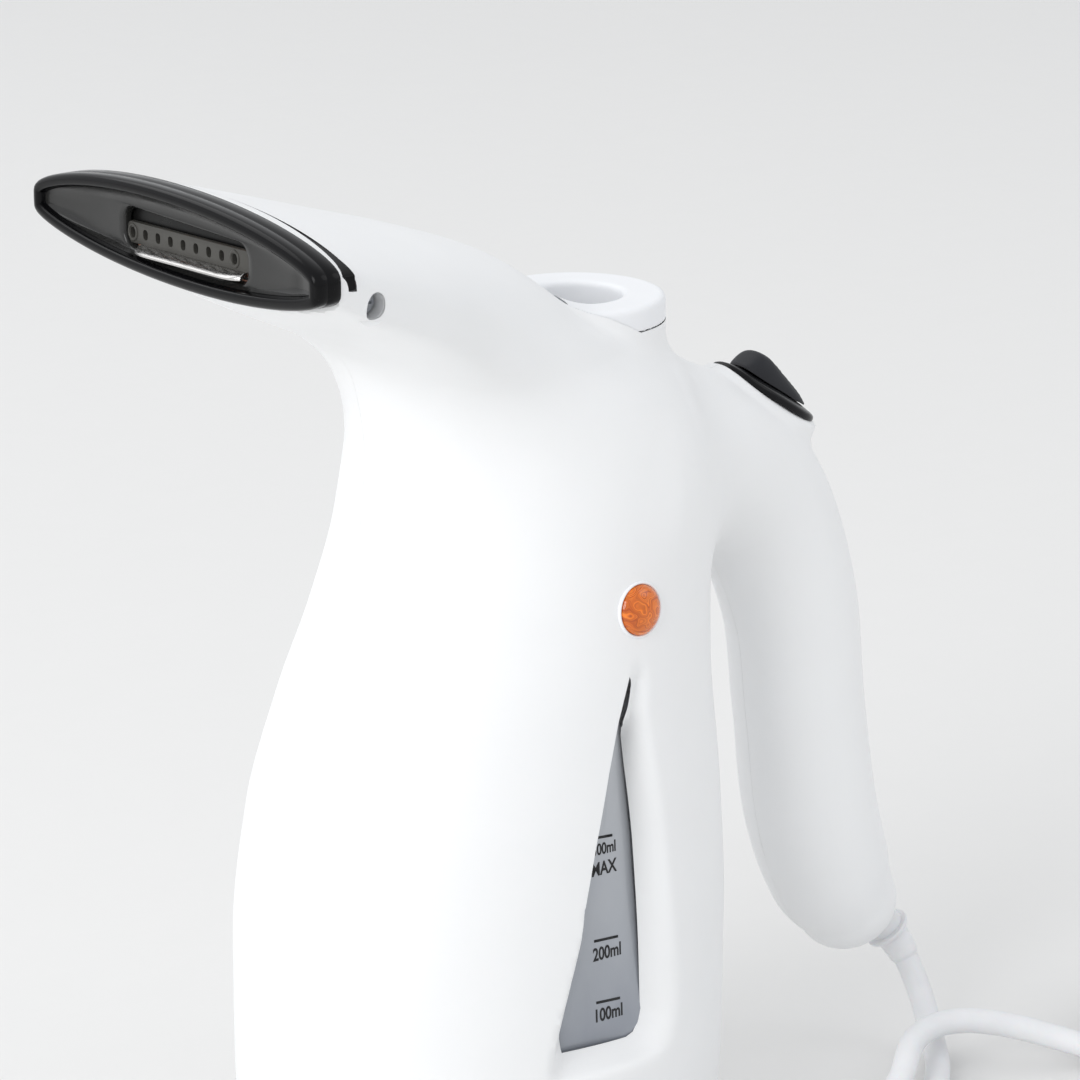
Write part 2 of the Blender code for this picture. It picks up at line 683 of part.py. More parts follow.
def build_switch():
    plate = to_switch(oval("switch_plate", 15.5, 9.8, 0.3, 2.1))
    cut(plate, switch_box("plate_slot", (-7.2, -2.4, -1.0), (2.7, 2.4, 4.0)))
    profile = [(-10.3, 2.4), (11.6, 2.4), (6.5, 3.7), (0.8, 5.1), (-5.2, 6.8), (-7.2, 6.9), (-8.8, 5.6)]
    rings = [np.array([(u, y * (0.9 if abs(y) > 6 else 1.0), w) for u, w in profile]) for y in (-6.5, 6.5)]
    slide = to_switch(loft("thumb_slide", rings))
    join(slide, switch_box("stem", (-2.0, -1.9, -5.6), (2.0, 1.9, 3.0)))
    join(slide, switch_box("tip", (-1.0, -1.2, -9.0), (1.0, 1.2, -5.0)))
    body = switch_box("switch_body", (-11.0, -6.4, -17.0), (7.0, 6.4, -6.4))
    cut(body, switch_box("track", (-7.6, -2.6, -10.8), (3.1, 2.6, -5.0)))
    slider = switch_box("switch_slider", (-2.6, -2.2, -10.4), (2.6, 2.2, -6.8))
    cut(slider, switch_box("socket", (-1.2, -1.4, -9.4), (1.2, 1.4, -5.0)))
    for moving in (slide, slider):
        origin_to(moving, switch_point(0.0, 0.0, 0.0))


def origin_to(obj, point):
    """Put the object's origin on its joint axis without moving the solid."""
    shift = Vector(point) * MM
    obj.data.transform(Matrix.Translation(-shift))
    obj.location = shift


def build_lamp():
    x, z = LAMP
    lens = rod("lamp_lens", (x, -39.0, z), (x, -33.4, z), 5.3)
    join(lens, rod("dome", (x, -40.4, z), (x, -38.8, z), 3.4, 5.2))
    join(lens, rod("flange", (x, -34.0, z), (x, -32.6, z), 7.0))
    holder = rod("lamp_holder", (x, -32.3, z), (x, -21.0, z), 6.2, steps=20)
    cut(holder, rod("holder_bore", (x, -34.0, z), (x, -23.0, z), 3.6, steps=16))
    rod("neon_lamp", (x, -31.6, z), (x, -23.4, z), 2.8, steps=14)


# ---------------------------------------------------------------- cord


def build_cord():
    relief = along_cord("strain_relief", -17.0, 4.5, 4.2, 3.8)
    cut(relief, along_cord("relief_bore", -19.0, 8.0, CORD_R + 0.3))
    gland = rod("cord_gland", exit_point(0.2), exit_point(1.4), 5.7)
    cut(gland, along_cord("gland_bore", -4.0, 6.0, 4.6))
    clamp = rod("cord_clamp", exit_point(-30.0), exit_point(-23.5), 8.0, steps=8)
    cut(clamp, rod("clamp_way", exit_point(-36.0), exit_point(-18.0), CORD_R + 0.3))
    for name, y in (("wire_live", -3.2), ("wire_neutral", 3.2)):
        route = (
            (76.0, y, 64.0),
            (72.0, y, 86.0),
            (67.5, y, 112.0),
            (58.0, y, 134.0),
            (43.0, y, 147.0),
            (29.8, y, 141.5),
            (28.1, y, 124.0),
            (30.4, y, 92.0),
            (31.4, y, 60.0),
            (31.0, y, 34.0),
            (24.5, y, 20.0),
            (20.5, y, 14.0),
        )
        tube(name, smooth_path(route, 28), 1.1, 1)
    tube("cord_run", loose_path(CORD_ROUTE, 80), CORD_R)
    x, y = COIL_CENTRE
    profile = []
    for angle in np.linspace(0.0, 2.0 * math.pi, 12, endpoint=False):
        profile.append((COIL_R + COIL_HALF_WIDTH * math.cos(angle), 0.5 * COIL_HEIGHT * (1.0 + math.sin(angle))))
    turned("cord_coil", profile, (x, y), 32)
    build_plug()


def build_plug():
    x, y = PLUG_CENTRE
    rows = ((-22.0, 4.6, 4.6), (-14.0, 6.5, 6.5), (-6.0, 10.5, 8.0), (10.0, 13.5, 9.0), (15.0, 12.5, 8.4))
    rings = []
    for along, half_across, half_up in rows:
        across, up = superellipse(half_across, half_up, 2.6, 24)
        rings.append(np.stack([x + across, np.full(24, y - along), PLUG_Z + up], axis=1))
    body = loft("plug_body", rings)
    for side, name in ((-1, "plug_pin_1"), (1, "plug_pin_2")):
        pin_x = x + side * 6.3
        cut(body, box("pin_seat", (pin_x - 1.1, y - 20.0, PLUG_Z - 3.5), (pin_x + 1.1, y - 5.0, PLUG_Z + 3.5)))
        box(name, (pin_x - 0.8, y - 33.0, PLUG_Z - 3.2), (pin_x + 0.8, y - 5.3, PLUG_Z + 3.2))
    return body


FINISHES = {
    "white plastic": ((0.86, 0.88, 0.91), 0.38, 0.0, ("left_shell", "right_shell", "filler_collar", "base_cover")),
    "gloss black plastic": ((0.012, 0.012, 0.014), 0.12, 0.0, ("nozzle_bezel", "switch_plate")),
    "matt black plastic": ((0.02, 0.02, 0.022), 0.55, 0.0, ("thumb_slide", "switch_slider", "cord_gland")),
    "smoked plastic": ((0.06, 0.06, 0.07), 0.2, 0.0, ("nozzle_dish",)),
    "steel": ((0.6, 0.6, 0.6), 0.3, 1.0, ("nozzle_lip", "spout_screw", "base_screw", "heater_c", "heating", "plug_pin")),
    "silicone": ((0.75, 0.35, 0.25), 0.6, 0.0, ("filler_seal", "heater_gasket", "nozzle_seal")),
    "rubber": ((0.05, 0.05, 0.05), 0.8, 0.0, ("foot",)),
    "milky plastic": ((0.7, 0.74, 0.78), 0.35, 0.0, ("water_tank", "level_window", "filler_tube", "steam_pipe")),
    "dark plastic": ((0.1, 0.1, 0.11), 0.5, 0.0, ("steam_plate", "steam_manifold", "terminal", "switch_body")),
    "brown resin": ((0.3, 0.16, 0.08), 0.5, 0.0, ("thermostat", "thermal_fuse", "wire_live")),
    "blue insulation": ((0.1, 0.2, 0.5), 0.5, 0.0, ("wire_neutral",)),
    "amber lens": ((0.7, 0.15, 0.02), 0.1, 0.0, ("lamp_lens",)),
    "clear glass": ((0.9, 0.7, 0.5), 0.1, 0.0, ("neon_lamp",)),
    "pale plastic": ((0.8, 0.82, 0.85), 0.45, 0.0, ("",)),
}


def finish_for(name):
    for finish, values in FINISHES.items():
        if any(name.startswith(start) for start in values[3]):
            return finish, values
    raise ValueError(name)


def finish_object(obj):
    finish, (colour, roughness, metallic, _) = finish_for(obj.name)
    material = bpy.data.materials.new(f"{obj.name} {finish}")
    material.use_nodes = True
    shader = material.node_tree.nodes["Principled BSDF"]
    shader.inputs["Base Color"].default_value = (*colour, 1.0)
    shader.inputs["Roughness"].default_value = roughness
    shader.inputs["Metallic"].default_value = metallic
    obj.data.materials.clear()
    obj.data.materials.append(material)
    if obj.type == "MESH":
        obj.data.shade_smooth()
        obj.data.set_sharp_from_angle(angle=math.radians(35.0))


def main():
    clear_scene()
    build_shells()
    build_collar()
    build_base()
    build_tank()
    build_heater()
    build_steam_path()
    build_nozzle()
    build_switch()
    build_lamp()
    build_cord()
    for obj in list(bpy.context.scene.objects):
        finish_object(obj)


main()
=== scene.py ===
"""A handheld garment steamer on a pale floor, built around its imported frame.

The tables are in millimetres. The nozzle points along -X, the handle is at +X, the left is -Y and Z is up.
The two body shells are one smooth form, the zero level of a distance field that joins body, spout, handle and
switch pedestal. The other pieces are profiles carried along paths and round outlines.
"""

from __future__ import annotations

import logging
import math
from collections.abc import Callable, Sequence
from dataclasses import dataclass, field
from enum import Enum

import bmesh
import bpy
import numpy as np
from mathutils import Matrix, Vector


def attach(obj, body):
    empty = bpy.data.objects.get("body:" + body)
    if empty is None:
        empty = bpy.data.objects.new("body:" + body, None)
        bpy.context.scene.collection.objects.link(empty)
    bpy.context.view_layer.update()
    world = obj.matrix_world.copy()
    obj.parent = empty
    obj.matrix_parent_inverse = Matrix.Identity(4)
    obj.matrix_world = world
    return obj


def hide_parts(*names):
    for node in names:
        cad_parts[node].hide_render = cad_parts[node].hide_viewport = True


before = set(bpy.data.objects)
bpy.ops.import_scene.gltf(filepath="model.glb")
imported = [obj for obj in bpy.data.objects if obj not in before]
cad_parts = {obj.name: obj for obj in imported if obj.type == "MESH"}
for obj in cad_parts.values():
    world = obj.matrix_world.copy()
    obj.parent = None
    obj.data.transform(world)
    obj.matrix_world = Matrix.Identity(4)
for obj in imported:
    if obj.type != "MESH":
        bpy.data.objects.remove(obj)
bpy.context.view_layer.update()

LOG = logging.getLogger("steamer")
MM = 0.001
ROOT = "steamer"
Points = np.ndarray
Faces = list


# ------------------------------------------------------------------ numbers and surfaces


def monotone(at: np.ndarray, places: np.ndarray, values: np.ndarray) -> np.ndarray:
    """Interpolate with a cubic that never overshoots, flat beyond its ends.

    Each slope is the harmonic mean of its neighbours' chords, or zero where they disagree in sign.

    Args:
        at: where the values are wanted.
        places: rising places of the known values.
        values: the known values.

    Returns:
        The values at those places.
    """
    at = np.clip(at, places[0], places[-1])
    step = np.diff(places)
    chord = np.diff(values) / step
    slope = np.zeros(len(places))
    before, after = 2 * step[1:] + step[:-1], step[1:] + 2 * step[:-1]
    agree = chord[:-1] * chord[1:] > 0
    safe = np.where(agree, chord[:-1], 1), np.where(agree, chord[1:], 1)
    slope[1:-1] = np.where(agree, (before + after) / (before / safe[0] + after / safe[1]), 0)
    slope[0], slope[-1] = chord[0], chord[-1]
    k = np.clip(np.searchsorted(places, at, side="right") - 1, 0, len(places) - 2)
    t = (at - places[k]) / step[k]
    start = values[k] * (1 + 2 * t) * (1 - t) ** 2 + step[k] * slope[k] * t * (1 - t) ** 2
    end = values[k + 1] * t * t * (3 - 2 * t) + step[k] * slope[k + 1] * t * t * (t - 1)
    return start + end


def soft_min(a: np.ndarray, b: np.ndarray, reach: float) -> np.ndarray:
    """The smaller of two fields, with a parabolic fillet where they differ by less than reach."""
    share = np.clip(0.5 + 0.5 * (b - a) / reach, 0, 1)
    return b + (a - b) * share - reach * share * (1 - share)


def soft_max(a: np.ndarray, b: np.ndarray, reach: float) -> np.ndarray:
    """The larger of two fields, with a parabolic fillet."""
    return -soft_min(-a, -b, reach)


def smooth_step(value: np.ndarray, low: float, high: float) -> np.ndarray:
    """A cubic rise from 0 at low to 1 at high."""
    t = np.clip((value - low) / (high - low), 0, 1)
    return t * t * (3 - 2 * t)


def superellipse(half_a: float, half_b: float, power: float, count: int) -> np.ndarray:
    """Points of |a/half_a|^power + |b/half_b|^power = 1, by equal steps of angle."""
    angle = np.linspace(0, 2 * math.pi, count, endpoint=False)
    cos, sin = np.cos(angle), np.sin(angle)
    a = half_a * np.sign(cos) * np.abs(cos) ** (2 / power)
    b = half_b * np.sign(sin) * np.abs(sin) ** (2 / power)
    return np.stack([a, b], axis=1)


def rounded_box(half_a: float, half_b: float, radius: float, corner: int = 8) -> np.ndarray:
    """The outline of a rectangle whose corners are quarter circles."""
    quarter = np.linspace(0, math.pi / 2, corner)
    arcs = []
    for turn, (sign_a, sign_b) in enumerate(((1, 1), (-1, 1), (-1, -1), (1, -1))):
        angle = quarter + turn * math.pi / 2
        arc = np.stack([np.cos(angle), np.sin(angle)], axis=1) * radius
        arcs.append(arc + (sign_a * (half_a - radius), sign_b * (half_b - radius)))
    return np.concatenate(arcs)


def section_at(x: float, loop: np.ndarray) -> Points:
    """A (y, z) outline as points in the plane at x."""
    return np.column_stack([np.full(len(loop), x), loop])


def evened(outline: np.ndarray, count: int) -> np.ndarray:
    """The closed outline again, as count points at equal steps along it."""
    loop = np.vstack([outline, outline[:1]])
    travelled = np.r_[0, np.cumsum(np.linalg.norm(np.diff(loop, axis=0), axis=1))]
    places = np.linspace(0, travelled[-1], count, endpoint=False)
    return np.stack([np.interp(places, travelled, loop[:, k]) for k in range(outline.shape[1])], axis=1)


def inwards(outline: np.ndarray, distance: float) -> np.ndarray:
    """A counter-clockwise outline moved inwards along its normals by a distance."""
    ahead, behind = np.roll(outline, -1, axis=0), np.roll(outline, 1, axis=0)
    along = ahead - behind
    along /= np.maximum(np.linalg.norm(along, axis=1), 1e-9)[:, None]
    return outline + np.stack([-along[:, 1], along[:, 0]], axis=1) * distance


def spline(route: Sequence, steps: int) -> np.ndarray:
    """Evenly spaced points on the uniform cubic B-spline that the route's points pull, first to last."""
    route = np.asarray(route, float)
    ends = np.vstack([2 * route[0] - route[1], route, 2 * route[-1] - route[-2]])
    t = np.linspace(0, 1, 24, endpoint=False)
    pulls = [(1 - t) ** 3, 3 * t**3 - 6 * t**2 + 4, -3 * t**3 + 3 * t**2 + 3 * t + 1, t**3]
    weights = np.stack(pulls, axis=1) / 6
    near = ends[np.arange(len(ends) - 3)[:, None] + np.arange(4)]
    dense = np.vstack([np.einsum("tc,kcd->ktd", weights, near).reshape(-1, 3), route[-1:]])
    travelled = np.r_[0, np.cumsum(np.linalg.norm(np.diff(dense, axis=0), axis=1))]
    places = np.linspace(0, travelled[-1], steps)
    return np.stack([np.interp(places, travelled, dense[:, k]) for k in range(3)], axis=1)


def lengths(path: np.ndarray) -> np.ndarray:
    """The distance travelled at each point of a path."""
    return np.r_[0, np.cumsum(np.linalg.norm(np.diff(path, axis=0), axis=1))]


def across(path: np.ndarray, hint: tuple = (0, 1, 0)) -> tuple:
    """Two directions square to a path at each of its points, the first one also square to hint."""
    along = np.gradient(path, axis=0)
    along /= np.linalg.norm(along, axis=1)[:, None]
    side = np.cross(along, hint)
    side /= np.linalg.norm(side, axis=1)[:, None]
    return side, np.cross(along, side)


# ------------------------------------------------------------------ meshes


def mesh_object(name: str, points: Points, faces: Faces, tidy: bool = False) -> bpy.types.Object:
    """Put a surface into the scene as an object at the origin.

    Args:
        name: the piece's name.
        points: its points, in millimetres.
        faces: its faces, as rows of point numbers.
        tidy: whether to merge doubles and turn every face outwards.

    Returns:
        The new object.
    """
    mesh = bpy.data.meshes.new(name)
    rows = [np.asarray(f, np.int32) for f in faces]
    flat = np.concatenate([r.ravel() for r in rows])
    sizes = np.concatenate([np.full(len(r), r.shape[1]) for r in rows])
    mesh.vertices.add(len(points))
    mesh.vertices.foreach_set("co", (np.asarray(points, np.float64) * MM).astype(np.float32).ravel())
    mesh.loops.add(len(flat))
    mesh.loops.foreach_set("vertex_index", flat.astype(np.int32))
    mesh.polygons.add(len(sizes))
    mesh.polygons.foreach_set("loop_start", np.r_[0, np.cumsum(sizes)[:-1]].astype(np.int32))
    mesh.update(calc_edges=True)
    mesh.validate()
    if tidy:
        shape = bmesh.new()
        shape.from_mesh(mesh)
        bmesh.ops.remove_doubles(shape, verts=shape.verts, dist=1e-6)
        bmesh.ops.recalc_face_normals(shape, faces=shape.faces)
        shape.to_mesh(mesh)
        shape.free()
    obj = bpy.data.objects.new(name, mesh)
    bpy.context.scene.collection.objects.link(obj)
    return obj


def grid_faces(rows: int, columns: int, close_rows: bool = False, close_columns: bool = True) -> np.ndarray:
    """The quads between neighbouring points of a grid, which may close on itself either way."""
    row = np.arange(rows if close_rows else rows - 1)
    column = np.arange(columns if close_columns else columns - 1)
    r, c = np.meshgrid(row, column, indexing="ij")
    r2, c2 = (r + 1) % rows, (c + 1) % columns
    corners = [r * columns + c, r * columns + c2, r2 * columns + c2, r2 * columns + c]
    return np.stack(corners, axis=-1).reshape(-1, 4)


def skin(name: str, rings: Sequence, caps: bool = True, loop: bool = False) -> bpy.types.Object:
    """A closed solid through rings of points that have the same number of points each.

    Args:
        name: the piece's name.
        rings: its rings, each an array of points.
        caps: whether the first and last rings are closed by a fan to their middle.
        loop: whether the last ring joins the first one.

    Returns:
        The new object.
    """
    rings = np.asarray(rings, float)
    rows, columns = rings.shape[:2]
    points = rings.reshape(-1, 3)
    faces = [grid_faces(rows, columns, close_rows=loop)]
    if caps and not loop:
        middles = np.stack([rings[0].mean(axis=0), rings[-1].mean(axis=0)])
        first, k = len(points), np.arange(columns)
        after = (k + 1) % columns
        faces.append(np.stack([np.full(columns, first), after, k], axis=1))
        last = (rows - 1) * columns
        faces.append(np.stack([np.full(columns, first + 1), last + k, last + after], axis=1))
        points = np.vstack([points, middles])
    return mesh_object(name, points, faces, tidy=True)


def lathe(name: str, profile: Sequence, centre: tuple, steps: int = 96) -> bpy.types.Object:
    """A closed profile of (radius, height) turned about a vertical axis."""
    profile = np.asarray(profile, float)
    angle = np.linspace(0, 2 * math.pi, steps, endpoint=False)[:, None]
    rings = np.stack(
        [
            centre[0] + profile[:, 0] * np.cos(angle),
            centre[1] + profile[:, 0] * np.sin(angle),
            np.broadcast_to(profile[:, 1], (steps, len(profile))),
        ],
        axis=-1,
    )
    return skin(name, rings, loop=True)


def turned_along(
    name: str, start: Sequence, end: Sequence, profile: Sequence, steps: int = 64
) -> bpy.types.Object:
    """A solid of (distance, radius) rings about the line from start towards end, closed at both ends."""
    start, end = np.asarray(start, float), np.asarray(end, float)
    along = (end - start) / np.linalg.norm(end - start)
    side = np.cross(along, (0, 0, 1) if abs(along[2]) < 0.9 else (0, 1, 0))
    side /= np.linalg.norm(side)
    other = np.cross(along, side)
    angle = np.linspace(0, 2 * math.pi, steps, endpoint=False)[:, None]
    turn = np.cos(angle) * side + np.sin(angle) * other
    return skin(name, [start + along * d + turn * r for d, r in profile])


def tube_rings(path: np.ndarray, radii: np.ndarray, steps: int = 32, hint: tuple = (0, 1, 0)) -> np.ndarray:
    """Rings of a radius at each point of a path, square to it."""
    side, other = across(path, hint)
    angle = np.linspace(0, 2 * math.pi, steps, endpoint=False)
    turn = np.cos(angle)[None, :, None] * side[:, None] + np.sin(angle)[None, :, None] * other[:, None]
    return path[:, None] + turn * np.asarray(radii, float)[:, None, None]


def block(name: str, low: Sequence, high: Sequence) -> bpy.types.Object:
    """A plain cutter with square corners, used up by a Boolean."""
    xs, ys, zs = zip(low, high)
    corners = np.array([(x, y, z) for x in xs for y in ys for z in zs])
    faces = np.array([(0, 1, 3, 2), (4, 6, 7, 5), (0, 4, 5, 1), (2, 3, 7, 6), (0, 2, 6, 4), (1, 5, 7, 3)])
    return mesh_object(name, corners, [faces])


def baked(obj: bpy.types.Object) -> bpy.types.Object:
    """Replace the object's mesh by what its modifiers make of it."""
    mesh = bpy.data.meshes.new_from_object(obj.evaluated_get(bpy.context.evaluated_depsgraph_get()))
    obj.modifiers.clear()
    obj.data = mesh
    return obj


def boolean(target: bpy.types.Object, operation: str, *others: bpy.types.Object) -> bpy.types.Object:
    """Apply Booleans with other closed solids, which are used up."""
    for other in others:
        for solver in ("MANIFOLD", "EXACT"):
            modifier = target.modifiers.new(operation.title(), "BOOLEAN")
            modifier.operation, modifier.solver, modifier.object = operation, solver, other
            kept = target.data
            baked(target)
            if len(target.data.polygons) and len(target.data.polygons) != len(kept.polygons):
                break
            target.data = kept
        bpy.data.objects.remove(other, do_unlink=True)
    return target


def cut(target: bpy.types.Object, *others: bpy.types.Object) -> bpy.types.Object:
    """Take other solids away from the target."""
    return boolean(target, "DIFFERENCE", *others)


def joined(name: str, *parts: bpy.types.Object) -> bpy.types.Object:
    """One object from several that keep their own surfaces."""
    shape = bmesh.new()
    for part in parts:
        shape.from_mesh(part.data)
        bpy.data.objects.remove(part, do_unlink=True)
    mesh = bpy.data.meshes.new(name)
    shape.to_mesh(mesh)
    shape.free()
    obj = bpy.data.objects.new(name, mesh)
    bpy.context.scene.collection.objects.link(obj)
    return obj


def smoothed(obj: bpy.types.Object, angle: float = 35.0) -> bpy.types.Object:
    """Shade round, with an edge kept sharp where its faces meet at more than an angle in degrees."""
    obj.data.shade_smooth()
    obj.data.set_sharp_from_angle(angle=math.radians(angle))
    return obj


def placed(obj: bpy.types.Object, choice: "Finishes", *stands_for: str, body: str = ROOT) -> bpy.types.Object:
    """Dress a finished piece, make it ride on its body and hide the solids that it stands for."""
    finish = choice.value
    obj.data.materials.clear()
    obj.data.materials.append(finish.material())
    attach(obj, body)
    if stands_for:
        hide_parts(*stands_for)
    LOG.info("%s: %s", obj.name, finish.name)
    return obj


# ------------------------------------------------------------------ finishes


class Sketch:
    """A short-hand writer for one material's nodes."""

    def __init__(self, name: str) -> None:
        """Start a material that holds a Principled shader and its output."""
        self.material = bpy.data.materials.new(name)
        self.material.use_nodes = True
        self.tree = self.material.node_tree
        self.shader = self.tree.nodes["Principled BSDF"]
        where = self.add("ShaderNodeTexCoord").outputs["Object"]
        millimetres = self.add("ShaderNodeMapping", Vector=where, Scale=(1000.0, 1000.0, 1000.0))
        self.place = millimetres.outputs["Vector"]

    def add(self, kind: str, settings: dict | None = None, **inputs: object) -> bpy.types.Node:
        """Add a node, and link or set its inputs.

        Args:
            kind: the node's type.
            settings: properties of the node itself.
            inputs: sockets by name, or by number after an underscore, as links or values.

        Returns:
            The new node.
        """
        node = self.tree.nodes.new(kind)
        for key, value in (settings or {}).items():
            setattr(node, key, value)
        for key, value in inputs.items():
            socket = node.inputs[int(key[1:])] if key[0] == "_" else node.inputs[key]
            if isinstance(value, bpy.types.NodeSocket):
                self.tree.links.new(value, socket)
            else:
                socket.default_value = value
        return node

    def put(self, socket: str, value: object) -> None:
        """Link or set one of the shader's sockets."""
        if isinstance(value, bpy.types.NodeSocket):
            self.tree.links.new(value, self.shader.inputs[socket])
        else:
            self.shader.inputs[socket].default_value = value

    def noise(self, size: float, detail: float = 2.0, stretch: tuple | None = None) -> bpy.types.NodeSocket:
        """Noise whose lumps are about size millimetres across, longer along an axis where stretch says so."""
        place = self.place
        if stretch:
            shrink = tuple(1 / s for s in stretch)
            place = self.add("ShaderNodeMapping", Vector=place, Scale=shrink).outputs["Vector"]
        node = self.add("ShaderNodeTexNoise", Vector=place, Scale=1 / size, Detail=detail, Roughness=0.55)
        return node.outputs["Fac"]

    def span(
        self, value: bpy.types.NodeSocket, low: float, high: float, bottom: float = 0.3, top: float = 0.7
    ):
        """The value stretched from bottom..top onto low..high, and held there."""
        names = {"From Min": bottom, "From Max": top, "To Min": low, "To Max": high}
        return self.add("ShaderNodeMapRange", Value=value, **names).outputs["Result"]

    def blend(self, share: object, first: object, second: object) -> bpy.types.NodeSocket:
        """A colour between two, by a share."""
        colours = [v if isinstance(v, bpy.types.NodeSocket) else (*v[:3], 1.0) for v in (first, second)]
        node = self.add("ShaderNodeMix", {"data_type": "RGBA"}, _0=share, _6=colours[0], _7=colours[1])
        return node.outputs[2]

    def sum(self, first: object, second: object, operation: str = "ADD") -> bpy.types.NodeSocket:
        """Two values added, or put together by another operation."""
        return self.add("ShaderNodeMath", {"operation": operation}, _0=first, _1=second).outputs[0]

    def height(
        self, value: bpy.types.NodeSocket, depth: float, strength: float, below=None
    ) -> bpy.types.NodeSocket:
        """A bump of a depth in millimetres, laid over another one where given."""
        extra = {"Normal": below} if below else {}
        bump = self.add("ShaderNodeBump", Height=value, Distance=depth * MM, Strength=strength, **extra)
        return bump.outputs[0]

    def axis(self, name: str) -> bpy.types.NodeSocket:
        """The place along X, Y or Z, in millimetres."""
        return self.add("ShaderNodeSeparateXYZ", Vector=self.place).outputs[name]


def shaded(colour: tuple, by: float) -> tuple:
    """The colour made lighter or darker."""
    return tuple(min(1.0, c * by) for c in colour)


@dataclass(frozen=True)
class Finish:
    """A finish: its name, the record's material slot (not used) and the numbers that every finish has."""

    name: str
    slot: str
    colour: tuple
    roughness: float = 0.4
    grain: float = 0.5
    grain_depth: float = 0.01
    mottle: float = 0.02
    coat: float = 0.0
    shine: float = 0.5

    def material(self) -> bpy.types.Material:
        """The finish as a material, made once."""
        made = bpy.data.materials.get(self.name)
        if made is None:
            sketch = Sketch(self.name)
            self.draw(sketch)
            made = sketch.material
        return made

    def draw(self, s: Sketch) -> None:
        """Write the shader: slow mottling, a grain that catches the light, and uneven gloss."""
        slow = s.noise(18.0, 3.0)
        fine = s.noise(self.grain, 3.0)
        dark, pale = shaded(self.colour, 1 - self.mottle), shaded(self.colour, 1 + self.mottle)
        tone = s.blend(s.span(slow, 0, 1), dark, pale)
        speck = s.span(s.noise(self.grain * 3, 1.0), 0.0, self.mottle * 2, 0.62, 0.72)
        s.put("Base Color", s.blend(speck, tone, shaded(self.colour, 0.6)))
        uneven = s.sum(s.span(s.noise(6.0), -0.03, 0.03), s.span(fine, -0.02, 0.02))
        s.put("Roughness", s.sum(uneven, self.roughness))
        s.put("Normal", s.height(fine, self.grain_depth, 0.5))
        s.put("Specular IOR Level", self.shine)
        s.put("Coat Weight", self.coat)
        s.put("Coat Roughness", 0.08)


@dataclass(frozen=True)
class Moulded(Finish):
    """Moulded plastic that lets a little light into itself, with a slight flow waviness under its grain."""

    depth: float = 0.06
    wave: float = 0.012

    def draw(self, s: Sketch) -> None:
        """Write the base finish, the glow under the skin and the slow waves of the moulding."""
        super().draw(s)
        s.put("Subsurface Weight", self.depth)
        s.put("Subsurface Radius", (0.6, 0.65, 0.7))
        s.put("Subsurface Scale", 0.002)
        wave = s.height(s.noise(32.0, 1.0), self.wave, 0.6)
        s.put("Normal", s.height(s.noise(self.grain, 3.0), self.grain_depth, 0.35, wave))


@dataclass(frozen=True)
class Metal(Finish):
    """Worked metal: fine lines drawn out along one axis, with dulled patches."""

    lines: tuple = (1.0, 12.0, 1.0)

    def draw(self, s: Sketch) -> None:
        """Write the drawn lines into the tone, the gloss and the surface."""
        drawn = s.noise(0.35, 4.0, self.lines)
        dull = s.noise(5.0, 4.0)
        tone = s.blend(s.span(drawn, 0, 1), shaded(self.colour, 0.8), shaded(self.colour, 1.1))
        s.put("Base Color", s.blend(s.span(dull, 0, 0.35, 0.5, 0.7), tone, shaded(self.colour, 0.5)))
        s.put("Metallic", 1.0)
        s.put("Roughness", s.sum(s.span(drawn, -0.08, 0.1), self.roughness))
        s.put("Normal", s.height(drawn, self.grain_depth, 0.5))


@dataclass(frozen=True)
class Clear(Finish):
    """A see-through plastic or glass with faint haze and flow lines."""

    clearness: float = 0.9
    index: float = 1.49

    def draw(self, s: Sketch) -> None:
        """Write the tint with its haze, and let light through."""
        haze = s.noise(7.0, 4.0, (1.0, 1.0, 2.5))
        s.put("Base Color", s.blend(s.span(haze, 0, 1), shaded(self.colour, 0.94), shaded(self.colour, 1.04)))
        s.put("Transmission Weight", self.clearness)
        s.put("IOR", self.index)
        s.put("Roughness", s.sum(s.span(s.noise(1.2, 3.0), 0.0, 0.05), self.roughness))
        s.put("Normal", s.height(s.noise(9.0, 2.0), self.grain_depth, 0.5))


@dataclass(frozen=True)
class Pane(Finish):
    """The water window: grey-milky plastic before a dim tank, with painted shade that makes it darker towards
    its foot.
    """

    # foot is the painted shade's colour at the pane's foot; between low and high it gives way to the upper
    # colour.
    foot: tuple = (0.3, 0.32, 0.36)
    low: float = 42.0
    high: float = 112.0

    def draw(self, s: Sketch) -> None:
        """Write the painted shade by height, darker towards the foot, with soft clouding and a fine polish.
        """
        # Painted shade: the colour darkens by height, from the upper colour down to the foot's colour.
        rise = s.span(s.axis("Z"), 0.0, 1.0, self.low, self.high)
        cloud = s.span(s.noise(11.0, 3.0, (1.0, 1.0, 2.0)), -0.06, 0.06)
        s.put("Base Color", s.blend(s.sum(rise, cloud), self.foot, self.colour))
        s.put("Roughness", s.sum(s.span(s.noise(0.8, 3.0), -0.02, 0.04), self.roughness))
        s.put("Normal", s.height(s.noise(14.0, 2.0), 0.02, 0.4))
        s.put("Coat Weight", self.coat)


